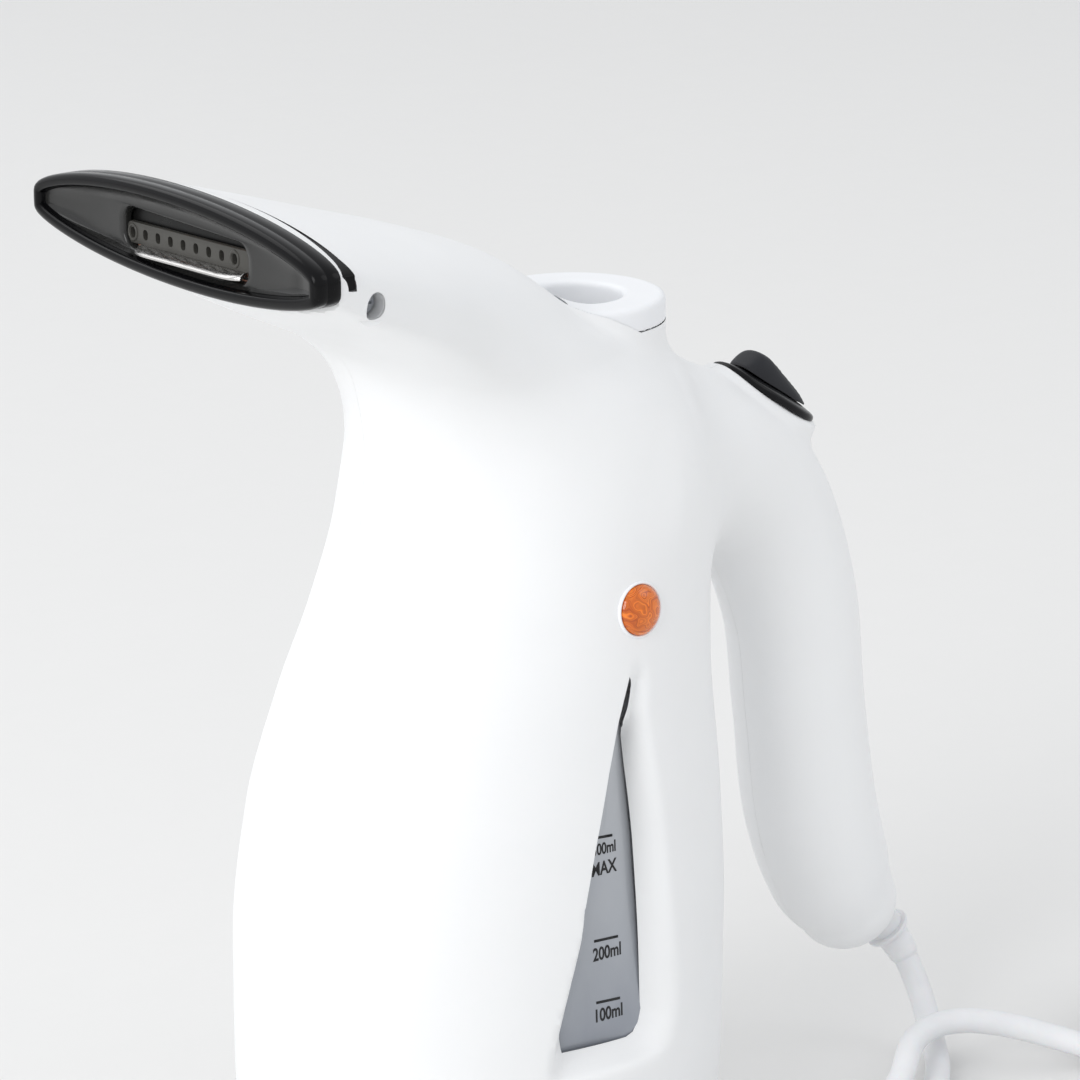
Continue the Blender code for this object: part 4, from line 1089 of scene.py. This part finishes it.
@dataclass
class Nozzle:
    """The black bezel, the smoked dish with its deep recess, the slotted steam plate and the steel lip."""

    form: BodyForm
    # Bezel profile: x and distance inside the spout's outline, from the inside round the front to the shell.
    rim: tuple = (
        (-89.0, 4.2), (-93.4, 4.2), (-97.0, 3.2), (-99.0, 2.75), (-99.7, 2.55), (-99.95, 2.2),
        (-100.0, 1.7), (-99.95, 1.1), (-99.7, 0.55), (-99.2, 0.2), (-98.6, 0.05), (-97.2, 0.0),
        (-96.95, 0.12), (-96.75, 0.12), (-96.5, 0.0), (-94.0, 0.0), (-93.75, 0.15), (-93.6, 0.3),
        (-93.6, 2.2), (-89.0, 2.2),
    )
    recess_centre: tuple = (-2.0, 225.1)
    recess_half: tuple = (24.0, 4.7, 3.6)
    # The recess's wall: x and distance inside its outline, then back behind the dish.
    recess_wall: tuple = (
        (-96.95, 0.1), (-96.6, 0.35), (-96.2, 0.45), (-95.2, 0.5), (-95.2, -1.2), (-96.4, -1.6),
    )
    strip_z: tuple = (224.6, 224.65)
    strip_lean: float = 0.04
    slots: int = 9
    slot_pitch: float = 4.86
    slot_y: float = 19.5
    slot_half: tuple = (0.9, 1.1)
    points: int = 240

    @staticmethod
    def outline(form: BodyForm, inset: float, count: int = 240) -> np.ndarray:
        """The spout's outline at its front as (y, z), moved inwards by a distance."""
        _, side, rise, drop, half, power, boat = form.spout[0]
        angle = np.linspace(0, 2 * math.pi, 1440, endpoint=False)
        y = half * np.sign(np.cos(angle)) * np.abs(np.cos(angle)) ** (2 / power)
        tall = np.where(np.sin(angle) > 0, rise, drop) * (1 - boat * (y / half) ** 2)
        z = side + tall * np.sign(np.sin(angle)) * np.abs(np.sin(angle)) ** (2 / power)
        return inwards(evened(np.stack([y, z], axis=1), count), inset)

    def bezel(self) -> None:
        """The bezel: its rim profile carried round the spout's outline."""
        rings = [section_at(x, self.outline(self.form, inset)) for x, inset in self.rim]
        placed(smoothed(skin("bezel", rings, loop=True), 40.0), Finishes.BEZEL, "nozzle_bezel")

    def dish(self) -> None:
        """The dish: the bezel's opening pulled in to the recess with a sag, then the recess's walls."""
        start = self.outline(self.form, 3.0, self.points)
        end = evened(rounded_box(*self.recess_half, 12), self.points) + self.recess_centre
        turn = np.argmin(np.abs(end - self.recess_centre)[:, 1] + (end[:, 0] < self.recess_centre[0]) * 100)
        end = np.roll(end, -turn, axis=0)
        rows = []
        for share in np.linspace(0, 1, 18):
            sag = 1.2 * math.sin(share * math.pi / 2) ** 0.8 + 0.25 * math.sin(share * math.pi)
            loop = start * (1 - share) + end * share
            fold = 0.5 * np.exp(-(((loop[:, 0] + 46.0) / 2.2) ** 2)) * math.sin(share * math.pi)
            rows.append(np.column_stack([-98.2 + sag + fold, loop]))
        rows += [section_at(x, inwards(end, inset)) for x, inset in self.recess_wall]
        rows += [section_at(-96.3, start * 0.5 + end * 0.5), section_at(-97.5, start)]
        placed(smoothed(skin("dish", rows, loop=True), 50.0), Finishes.DISH, "nozzle_dish")

    def grille(self) -> None:
        """The steam plate: a strip with nine slots, ringed at both ends, before a near-black sheet of painted
        shade.
        """
        cy, _ = self.recess_centre
        wide, tall, corner = self.recess_half
        strip_z, slot_z = self.strip_z
        strip = rounded_box(wide - 0.3, 2.35, 1.2, 6)
        rings = []
        for x, inset in ((-95.0, 0), (-95.7, 0), (-95.95, 0.12), (-96.05, 0.4)):
            y, z = inwards(strip, inset).T
            rings.append(section_at(x, np.column_stack([y + cy, z + strip_z - self.strip_lean * y])))
        plate = skin("grille", rings)
        levels = [self.slot_y - index * self.slot_pitch for index in range(self.slots)]
        cutters = []
        for y in levels:
            loop = rounded_box(*self.slot_half, 0.75, 6) + (y, slot_z - self.strip_lean * (y - cy))
            cutters.append(skin("slot", [section_at(x, loop) for x in (-97.0, -94.0)]))
        cut(plate, joined("slots", *cutters))
        ends = []
        angle = np.linspace(0, 2 * math.pi, 40, endpoint=False)
        small = np.linspace(0, 2 * math.pi, 12, endpoint=False)
        for y in (levels[0], levels[-1]):
            middle = slot_z - self.strip_lean * (y - cy)
            round_slot = np.column_stack([y + 1.5 * np.cos(angle), middle + 1.6 * np.sin(angle)])
            path = section_at(-96.0, round_slot)
            out = (path - path.mean(axis=0)) / 1.55
            swing = np.cos(small)[None, :, None] * out[:, None]
            lift = np.sin(small)[None, :, None] * np.array([1.0, 0, 0])
            ends.append(skin("ring", path[:, None] + 0.35 * (swing + lift), loop=True))
        placed(smoothed(joined("steam_strip", plate, *ends)), Finishes.GRILLE, "steam_plate")
        # Painted shade: a near-black sheet behind the slots stands in for the shade inside the nozzle.
        back = rounded_box(wide + 0.6, tall + 0.6, corner, 8) + self.recess_centre
        wall = skin("painted_shade_back", [section_at(x, back) for x in (-94.6, -94.0)])
        placed(smoothed(wall), Finishes.PAINTED_SHADE_SHEET)

    def lip(self) -> None:
        """The steel lip under the slots: a thin shelf with a rolled front edge that dips forwards."""
        half, centre = 20.0, -3.6
        profile = np.array([
            (-95.6, 222.4), (-97.2, 222.45), (-98.9, 221.8), (-99.3, 221.4),
            (-99.2, 221.0), (-98.8, 220.95), (-97.2, 221.55), (-95.6, 221.5),
        ])
        rings = []
        for share in np.r_[-1, -0.985, -0.95, np.linspace(-0.88, 0.88, 21), 0.95, 0.985, 1]:
            pull = 1 - 0.45 * abs(share) ** 12
            x = -95.6 + (profile[:, 0] + 95.6) * pull
            y = np.full(len(x), centre + half * share)
            rings.append(np.column_stack([x, y, profile[:, 1] - 0.8 * share]))
        placed(smoothed(skin("steel_lip", rings), 40.0), Finishes.LIP, "nozzle_lip")

    def build(self) -> None:
        """Make the nozzle's pieces."""
        self.bezel()
        self.dish()
        self.grille()
        self.lip()


# ------------------------------------------------------------------ small fittings


@dataclass
class Switch:
    """The thumb slide on its bowed plate, in a sloping frame: u runs down the slope and w off it."""

    centre: tuple = (59.0, 169.0)
    slope: float = math.radians(33.0)
    half: tuple = (14.4, 9.2)
    bow: float = 1.3
    slide_half: tuple = (10.2, 6.2)
    slide_centre: float = 0.2
    hump: np.ndarray = table(
        (-10.4, 2.5), (-9.6, 4.2), (-8.6, 5.9), (-7.3, 6.85), (-5.6, 6.8), (-2.5, 5.95), (0.8, 5.0),
        (6.5, 3.6), (11.6, 2.2),
    )
    ribs: tuple = (-3.0, 8.0, 1.35, 0.16)

    def at(self, u: np.ndarray, y: np.ndarray, w: np.ndarray) -> Points:
        """Points from the sloping frame."""
        u, y, w = np.broadcast_arrays(u, y, w)
        cos, sin = math.cos(self.slope), math.sin(self.slope)
        return np.stack([self.centre[0] + u * cos + w * sin, y, self.centre[1] - u * sin + w * cos], axis=-1)

    def slot_cutter(self) -> bpy.types.Object:
        """The opening that the slide's stem travels in."""
        loop = rounded_box(4.8, 2.4, 1.0, 5) + (-2.2, 0)
        return skin("stem_way", [self.at(loop[:, 0], loop[:, 1], w) for w in (-9.5, 3.5)])

    def plate(self) -> None:
        """The gloss plate: a superellipse that bows down towards its ends and sides, with a round edge."""
        loop = superellipse(*self.half, 2.5, 120)
        rows = ((0.05, 0.3), (0.5, 0.3), (0.93, 0.3), (0.975, 0.4), (1.0, 0.85), (1.0, 1.45), (0.985, 1.85),
                (0.955, 2.03), (0.9, 2.1), (0.7, 2.1), (0.4, 2.1), (0.05, 2.1))
        rings = []
        for scale, level in rows:
            u, y = (loop * scale).T
            rings.append(self.at(u, y, level - self.bow * (u / 15.5) ** 2 - y * y / 32))
        plate = skin("switch_plate_skin", rings)
        placed(smoothed(cut(plate, self.slot_cutter())), Finishes.PLATE, "switch_plate")

    def slide(self) -> None:
        """The matt slide: a domed hump over its outline, ribbed across for the thumb, on a stem."""
        loop = superellipse(*self.slide_half, 3.2, 128)
        rings = []
        for scale in (0.04, 0.5, 0.96, 1.0):
            u, y = (loop * scale).T
            rings.append(self.at(u + self.slide_centre, y, self.underside(u + self.slide_centre, y)))
        for scale in np.r_[0.999, 0.996, 0.99, 0.975, 0.95, 0.92, np.linspace(0.88, 0.04, 26)]:
            u, y = (loop * scale).T
            u = u + self.slide_centre
            low = self.underside(u, y)
            tall = monotone(u, self.hump[:, 0], self.hump[:, 1]) - 2.4
            first, last, pitch, height = self.ribs
            held = smooth_step(u, first - 0.5, first + 0.5) * smooth_step(-u, -last - 0.5, -last + 0.5)
            held = held * smooth_step(-np.abs(y), -5.2, -4.4)
            ribs = height * held * (1 + np.cos(2 * math.pi * u / pitch)) / 2
            level = low + 0.45 + np.maximum(tall, 0) * (1 - scale**9) ** 0.55 - y * y / 90 + ribs
            rings.append(self.at(u, y, level))
        hump = smoothed(skin("hump", rings), 45.0)
        stem = rounded_box(2.0, 2.0, 0.4, 4)
        post = skin("post", [self.at(stem[:, 0], stem[:, 1], w) for w in (-8.9, 2.6)])
        placed(joined("slide", hump, smoothed(post)), Finishes.SLIDE, "thumb_slide", body="thumb_slide")

    def underside(self, u: np.ndarray, y: np.ndarray) -> np.ndarray:
        """How high the slide's underside is: it follows the plate with room to travel."""
        return 2.25 - 0.4 * (u / 11.6) ** 2 - y * y / 34

    def build(self) -> None:
        """Make the plate and the slide."""
        self.plate()
        self.slide()


@dataclass
class Lamp:
    """The amber lens, domed out of its hole, in a thin pale ring."""

    centre: tuple = (-5.8, -37.8, 138.4)
    normal: tuple = (0.09, -0.99, 0.10)
    radius: float = 5.55

    def build(self) -> None:
        """Make the lens and its ring."""
        normal = np.array(self.normal) / np.linalg.norm(self.normal)
        base = np.array(self.centre) - 0.4 * normal
        r = self.radius
        dome = [(-5.0, 0.1), (-5.0, 5.2), (-1.0, 5.3), (0.2, r)]
        dome += [(0.3 + 2.6 * math.sin(a), r * math.cos(a)) for a in np.linspace(0.04, 1.53, 18)]
        lens = turned_along("lens", base, base + normal, dome, 96)
        placed(smoothed(lens, 60.0), Finishes.LAMP, "lamp_lens")
        angle = np.linspace(0, 2 * math.pi, 96, endpoint=False)
        side = np.cross(normal, (0, 0, 1))
        side /= np.linalg.norm(side)
        out = np.cos(angle)[:, None] * side + np.sin(angle)[:, None] * np.cross(normal, side)
        small = np.linspace(0, 2 * math.pi, 14, endpoint=False)
        ring = base + 0.2 * normal + out[:, None] * (r + 0.4 + 0.38 * np.cos(small))[None, :, None]
        ring = ring + 0.55 * np.sin(small)[None, :, None] * normal
        placed(smoothed(skin("lamp_ring", ring, loop=True), 60.0), Finishes.COLLAR)


@dataclass
class Screw:
    """The cross-headed screw at the bottom of its hole in the spout, in the cup of a boss."""

    centre: tuple = (-81.9, 219.2)
    head: float = 2.5
    shank: float = 1.3
    # The head's front and the shank's tip.
    levels: tuple = (-45.3, -34.0)
    # The cup's inner and outer radius.
    boss: tuple = (2.95, 4.3)

    def build(self) -> None:
        """Make the pan head with its cross, the shank, and the boss behind the hole."""
        x, z = self.centre
        front, tip = self.levels
        steps = [(0.0, 0.1), (0.0, 1.5), (0.25, 2.15), (0.7, 2.45), (1.4, self.head), (2.4, self.head)]
        steps += [(2.4, self.shank), (tip - front - 1.2, self.shank), (tip - front, 0.3)]
        body = turned_along("pan_screw", (x, front, z), (x, tip, z), steps)
        arms = [
            block("arm", (x - a, front - 0.5, z - b), (x + a, front + 1.1, z + b))
            for a, b in ((1.5, 0.3), (0.3, 1.5))
        ]
        placed(smoothed(cut(body, *arms)), Finishes.SCREW, "spout_screw")
        inner, outer = self.boss
        cup = [(0.0, 0.1), (0.0, outer), (5.6, outer), (5.6, inner), (1.0, inner), (1.0, 0.1)]
        placed(smoothed(turned_along("screw_boss", (x, -42.0, z), (x, -52.0, z), cup)), Finishes.SHELL)


@dataclass
class Window:
    """The grey pane behind the left shell's opening, with its printed marks."""

    form: BodyForm
    set_back: float = 0.4
    thick: float = 1.6
    print_depth: float = 0.05
    sunk: float = 0.02
    # How much each letter's outline is grown, as a share of the letter's size.
    boldness: float = 0.022
    # Text, left, right, baseline and height.
    words: tuple = (("300ml", -18.0, -11.6, 84.0, 2.7), ("MAX", -18.3, -11.4, 79.4, 3.1),
                    ("200ml", -18.6, -10.9, 59.9, 3.1), ("100ml", -18.3, -10.9, 45.7, 3.1))
    ticks: tuple = ((-18.2, 88.2, -12.4, 87.8), (-18.2, 64.6, -11.6, 64.3), (-18.1, 50.3, -11.5, 49.9))
    tick_height: float = 0.6

    def front(self, z: np.ndarray) -> np.ndarray:
        """The pane's front face at a height."""
        return self.form.pane_y(z) + self.set_back

    def pane(self) -> None:
        """The pane: its outline, slightly larger than the hole, with softened edges."""
        loop = evened(self.form.pane[::-1], 160)
        rings = []
        for grow, back in ((0.25, 0.0), (0.55, 0.1), (0.7, 0.35), (0.7, self.thick)):
            edge = inwards(loop, -grow) if self.rising(loop) else inwards(loop, grow)
            rings.append(np.column_stack([edge[:, 0], self.front(edge[:, 1]) + back, edge[:, 1]]))
        placed(smoothed(skin("pane", rings), 40.0), Finishes.PANE, "level_window")

    @staticmethod
    def rising(loop: np.ndarray) -> bool:
        """Whether an outline runs counter-clockwise."""
        after = np.roll(loop, -1, axis=0)
        return float((loop[:, 0] * after[:, 1] - after[:, 0] * loop[:, 1]).sum()) > 0

    def word(self, text: str, left: float, right: float, foot: float, height: float) -> bpy.types.Object:
        """One printed word, stretched to its measured width and height and laid on the pane."""
        curve = bpy.data.curves.new(text, "FONT")
        curve.body, curve.extrude, curve.offset = text, self.print_depth * MM, self.boldness
        holder = bpy.data.objects.new(text, curve)
        bpy.context.scene.collection.objects.link(holder)
        bpy.context.view_layer.update()
        mesh = bpy.data.meshes.new_from_object(holder.evaluated_get(bpy.context.evaluated_depsgraph_get()))
        bpy.data.objects.remove(holder, do_unlink=True)
        flat = np.array([v.co for v in mesh.vertices])
        low, high = flat.min(axis=0), flat.max(axis=0)
        x = left + (flat[:, 0] - low[0]) / (high[0] - low[0]) * (right - left)
        z = foot + (flat[:, 1] - low[1]) / (high[1] - low[1]) * height
        depth = np.where(flat[:, 2] > 0, -self.print_depth, self.sunk)
        laid = np.column_stack([x, self.front(z) + depth, z]) * MM
        mesh.vertices.foreach_set("co", laid.astype(np.float32).ravel())
        mesh.update()
        obj = bpy.data.objects.new("mark_" + text, mesh)
        bpy.context.scene.collection.objects.link(obj)
        return obj

    def marks(self) -> None:
        """The words and the lines at their levels."""
        pieces = [self.word(*row) for row in self.words]
        for x0, z0, x1, z1 in self.ticks:
            half = self.tick_height / 2
            corners = np.array([(x0, z0 - half), (x1, z1 - half), (x1, z1 + half), (x0, z0 + half)])
            rings = [
                np.column_stack([corners[:, 0], self.front(corners[:, 1]) + depth, corners[:, 1]])
                for depth in (self.sunk, -self.print_depth)
            ]
            pieces.append(skin("tick", rings))
        marks = joined("window_marks", *pieces)
        placed(marks, Finishes.INK)

    def build(self) -> None:
        """Make the pane and its marks."""
        self.pane()
        self.marks()


# ------------------------------------------------------------------ cord


@dataclass
class Cord:
    """The mains cord: out of the handle, once round itself on the floor, into a tied coil and its plug."""

    radius: float = 3.0
    inside: float = 25.0
    # The points that pull the free stretch, from inside the handle to the coil.
    route: np.ndarray = table(
        (82.3, 0, 47.1), (87.6, 0, 41.5), (93, 0, 35.8), (98.2, 0, 30.2), (102.2, -2.8, 23.9),
        (103.7, -6, 17.5), (103.3, -10.9, 10.8), (100, -17.9, 5), (95.4, -24.8, 3), (93.5, -27.7, 3),
        (82.8, -38.7, 3), (67.5, -55.4, 3), (66.5, -70.7, 3.1), (57.3, -87.3, 3.1), (42.9, -94.3, 3.1),
        (27.8, -93.8, 3.1), (15.3, -85.4, 3.1), (8.6, -71.6, 3.1), (10.7, -55.8, 3.1), (20.7, -42.7, 3),
        (38.3, -37, 3), (59.6, -42.8, 3), (73.4, -38.8, 8.8), (80.8, -30.1, 12.5), (94.4, -25.2, 13.1),
        (106.8, -27, 11.1), (116.9, -33.8, 8.4), (127.8, -45.6, 4.4),
    )
    # Between the free stretch and the coil.
    joint: tuple = (131.3, -56.6, 3.1)
    coil: tuple = (168.0, -56.0)
    start_angle: float = math.pi
    # Turns travelled, and the radius and height there.
    radii: np.ndarray = table(
        (0.0, 36.0), (0.70, 36.0), (1.0, 30.0), (1.7, 30.0), (2.0, 24.0), (3.25, 24.0), (3.55, 30.0),
        (4.25, 30.0), (4.55, 36.0), (5.25, 36.0), (5.55, 33.0), (5.85, 33.0), (6.2, 27.0), (6.35, 27.0),
        (6.75, 38.0), (6.9, 38.0),
    )
    heights: np.ndarray = table(
        (0.0, 3.0), (2.55, 3.0), (2.87, 9.0), (4.95, 9.0), (5.25, 15.0), (5.5, 15.0), (5.65, 14.2),
        (5.85, 14.2), (5.98, 15.0), (6.08, 15.0), (6.2, 14.2), (6.45, 20.3), (6.6, 22.8), (6.75, 24.3),
    )
    turns: float = 6.74
    per_turn: int = 24
    # The relief's distance along the cord from its exit, and its radius there.
    relief_taper: np.ndarray = table((-17.0, 4.4), (1.5, 4.25), (8.6, 3.55), (9.5, 3.1))
    tie_at: float = 0.6
    tie_lift: float = 0.9
    plug: tuple = (140.0, -46.0, -83.0, 26.5)
    pins: tuple = (6.3, 23.3, 29.7, -101.0)

    def coiled(self) -> Points:
        """The coil's pulling points: a turning radius and height, lifted where the tie passes beneath."""
        count = int(self.turns * self.per_turn)
        turn = np.linspace(0.05, self.turns, count)
        radius = monotone(turn, self.radii[:, 0], self.radii[:, 1])
        height = monotone(turn, self.heights[:, 0], self.heights[:, 1])
        away = (turn - self.tie_at + 0.5) % 1.0 - 0.5
        height = height + self.tie_lift * np.exp(-((away * 2 * math.pi * radius / 13.0) ** 2))
        pulled = radius * 3 / (2 + math.cos(2 * math.pi / self.per_turn))
        angle = self.start_angle + 2 * math.pi * turn
        x = self.coil[0] + pulled * np.cos(angle)
        y = self.coil[1] + pulled * np.sin(angle)
        return np.stack([x, y, height], axis=1)

    def tail(self) -> Points:
        """The points from the coil to inside the plug."""
        x, top, _, z = self.plug
        angle = np.radians([110, 130, 150, 168])
        bend = self.coil[0] - x
        arc = [self.coil[0] + bend * np.cos(angle), top + bend * np.sin(angle), [24.9, 25.6, 26.2, z]]
        return np.vstack([np.stack(arc, axis=1), [(x, top - 1, z), (x, top - 6, z)]])

    def centreline(self) -> Points:
        """All the pulling points, in order."""
        return np.vstack([self.route, [self.joint], self.coiled(), self.tail()])

    def run(self) -> bpy.types.Object:
        """The cord: one open cubic spline with a round jacket."""
        points = self.centreline()
        curve = bpy.data.curves.new("cord", "CURVE")
        curve.dimensions, curve.resolution_u = "3D", 6
        curve.bevel_depth, curve.bevel_resolution, curve.use_fill_caps = self.radius * MM, 6, True
        line = curve.splines.new("NURBS")
        line.points.add(len(points) - 1)
        line.points.foreach_set("co", np.column_stack([points * MM, np.ones(len(points))]).ravel())
        line.order_u, line.use_endpoint_u = 4, True
        obj = bpy.data.objects.new("cord", curve)
        bpy.context.scene.collection.objects.link(obj)
        return placed(obj, Finishes.JACKET, "cord_run", "cord_coil")

    def along(self, start: float, end: float, count: int) -> Points:
        """Points of the centreline between two distances from the exit."""
        path = spline(self.route, 900)
        travelled = lengths(path) - self.inside
        places = np.linspace(start, end, count)
        return np.stack([np.interp(places, travelled, path[:, k]) for k in range(3)], axis=1)

    def relief(self) -> bpy.types.Object:
        """The strain relief: a ribbed taper on the cord, mostly inside the handle."""
        places, values = self.relief_taper.T
        path = self.along(places[0], places[-1], 108)
        place = np.linspace(places[0], places[-1], 108)
        radii = np.interp(place, places, values)
        ribs = np.clip(np.cos(2 * math.pi * place / 2.2), -0.2, 0.5) * 0.06 * smooth_step(place, 1.6, 2.4)
        radii = radii - np.where(place < 8.4, ribs, 0)
        sleeve = skin("relief", tube_rings(path, radii, 48))
        return placed(smoothed(sleeve, 50.0), Finishes.RELIEF, "strain_relief")

    def gland(self) -> bpy.types.Object:
        """The gland: a low domed collar where the relief leaves the handle."""
        start, end = self.along(-4.0, 1.0, 2)
        profile = [(0.0, 4.3), (0.0, 4.55), (4.1, 4.55), (4.15, 5.6), (4.3, 5.75)]
        profile += [(5.0, 5.7), (5.5, 5.4), (5.75, 4.9), (5.75, 4.3)]
        obj = turned_along("gland", start, end, profile, 72)
        return placed(smoothed(obj, 50.0), Finishes.RELIEF, "cord_gland")

    def tie(self) -> bpy.types.Object:
        """The tie: a flat band drawn round the coil's section."""
        centres = np.array([(24.0, 3.9), (36.0, 3.9), (36.0, 9.9), (33.0, 15.4)])
        angle = np.linspace(0, 2 * math.pi, 720, endpoint=False)
        out = np.stack([np.cos(angle), np.sin(angle)], axis=1)
        hull = evened(centres[np.argmax(out @ centres.T, axis=1)] + 3.45 * out, 120)
        normal = hull - inwards(hull, 1.0)
        turn = self.start_angle + 2 * math.pi * self.tie_at
        radial = np.array([math.cos(turn), math.sin(turn), 0])
        along = np.array([-math.sin(turn), math.cos(turn), 0])
        section = rounded_box(0.4, 3.6, 0.3, 4)
        offset = hull[:, None] + normal[:, None] * section[None, :, :1]
        up = np.array([0, 0, 1.0])
        rings = offset[..., :1] * radial + section[None, :, 1:] * along + offset[..., 1:] * up
        rings = rings + np.array([*self.coil, 0.05])
        return placed(smoothed(skin("cord_tie", rings, loop=True)), Finishes.TIE)

    def plug_pieces(self) -> list:
        """The plug's body, swelling from the cord to its face with finger grooves, and its two flat pins."""
        x, top, face, z = self.plug
        rings = []
        for place in np.linspace(0, 1, 60):
            swell = smooth_step(np.array(place), 0.1, 0.75)
            groove = 0.5 * max(0.0, math.cos(2 * math.pi * place * 9)) * (0.12 < place < 0.55)
            edge = 0.9 * max(0.0, (place - 0.96) / 0.04) ** 2 + 0.8 * max(0.0, (0.03 - place) / 0.03) ** 2
            across_half = 4.6 + 8.9 * swell - groove - edge
            up_half = 4.6 + 4.4 * swell - groove - edge
            loop = superellipse(across_half, up_half, 3.0, 72)
            y = top + (face - top) * place
            rings.append(np.column_stack([x + loop[:, 0], np.full(72, y), z + loop[:, 1]]))
        pieces = [placed(smoothed(skin("plug", rings), 50.0), Finishes.PLUG, "plug_body")]
        offset, low, high, tip = self.pins
        for number, sign in enumerate((-1, 1), 1):
            blade = rounded_box(0.75, (high - low) / 2, 0.3, 4) + (x + sign * offset, (high + low) / 2)
            middle = blade.mean(axis=0)
            rings = []
            for y, scale in ((face + 0.15, 1.0), (tip + 1.5, 1.0), (tip + 0.5, 0.9), (tip, 0.7)):
                edge = middle + (blade - middle) * scale
                rings.append(np.column_stack([edge[:, 0], np.full(len(edge), y), edge[:, 1]]))
            pieces.append(placed(smoothed(skin(f"pin_{number}", rings)), Finishes.PIN, f"plug_pin_{number}"))
        return pieces

    def build(self) -> None:
        run = self.run()
        pieces = [self.relief(), self.gland(), self.tie(), *self.plug_pieces()]
        whole = lengths(spline(self.centreline(), 12000))[-1]
        LOG.info("cord: %.3f m", whole * MM)


# ------------------------------------------------------------------ studio


@dataclass
class Studio:
    """A pale room: one large floor, an even sky and broad soft lamps, with the camera."""

    eye: tuple = (-0.5827, -0.77559, 0.43685)
    look: tuple = (0.57212, 0.76756, -0.28903)
    lens: float = 151.667
    sensor: float = 36.0
    floor: tuple = (0.79, 0.785, 0.775)
    sky: tuple = (0.965, 0.98, 1.0)
    sky_strength: float = 0.82
    # Place, aim, size and power of each lamp.
    lamps: tuple = (
        ((-1.9, -0.5, 1.1), (0.0, 0.0, 0.12), 1.4, 22.0),
        ((1.4, -1.0, 1.3), (0.0, 0.0, 0.12), 1.2, 3.0),
        ((-0.4, 1.4, 1.6), (0.0, 0.0, 0.15), 1.4, 6.0),
    )

    def camera(self) -> None:
        """The camera, level, at its place."""
        data = bpy.data.cameras.new("camera")
        data.lens, data.sensor_width, data.clip_start = self.lens, self.sensor, 0.01
        obj = bpy.data.objects.new("camera", data)
        bpy.context.scene.collection.objects.link(obj)
        obj.location = self.eye
        obj.rotation_euler = Vector(self.look).to_track_quat("-Z", "Y").to_euler()
        bpy.context.scene.camera = obj

    def ground(self) -> None:
        """The floor, as a stage piece."""
        size = 20000.0
        corners = np.array([(-size, -size, 0), (size, -size, 0), (size, size, 0), (-size, size, 0)], float)
        floor = mesh_object("floor", corners, [np.array([[0, 1, 2, 3]])])
        sheet = Finish("pale floor", "pale_plastic", self.floor, 0.6, 3.0, 0.0, 0.003).material()
        floor.data.materials.append(sheet)

    def lights(self) -> None:
        """The sky and the lamps."""
        scene = bpy.context.scene
        scene.world = bpy.data.worlds.new("sky")
        scene.world.use_nodes = True
        sky = scene.world.node_tree.nodes["Background"]
        sky.inputs["Color"].default_value = (*self.sky, 1.0)
        sky.inputs["Strength"].default_value = self.sky_strength
        for number, (place, aim, size, power) in enumerate(self.lamps, 1):
            data = bpy.data.lights.new(f"soft_{number}", "AREA")
            data.shape, data.size, data.energy = "DISK", size, power
            lamp = bpy.data.objects.new(f"soft_{number}", data)
            scene.collection.objects.link(lamp)
            lamp.location = place
            lamp.rotation_euler = (Vector(aim) - Vector(place)).to_track_quat("-Z", "Y").to_euler()
        scene.view_settings.view_transform = "Standard"

    def build(self) -> None:
        """Set up the camera, the floor and the light."""
        self.camera()
        self.ground()
        self.lights()


def carry_over() -> None:
    """Dress the solids that keep their own shape."""
    for finish, names in CARRIED.items():
        for name in names:
            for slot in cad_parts[name].material_slots:
                slot.material = finish.value.material()
            LOG.info("%s: %s", name, finish.value.name)


def main() -> None:
    """Build the steamer and its room."""
    logging.basicConfig(level=logging.INFO, format="%(message)s")
    form = BodyForm()
    Studio().build()
    Cord().build()
    Shells(form).build()
    Nozzle(form).build()
    Switch().build()
    Lamp().build()
    Screw().build()
    Window(form).build()
    carry_over()


if __name__ == "__main__":
    main()
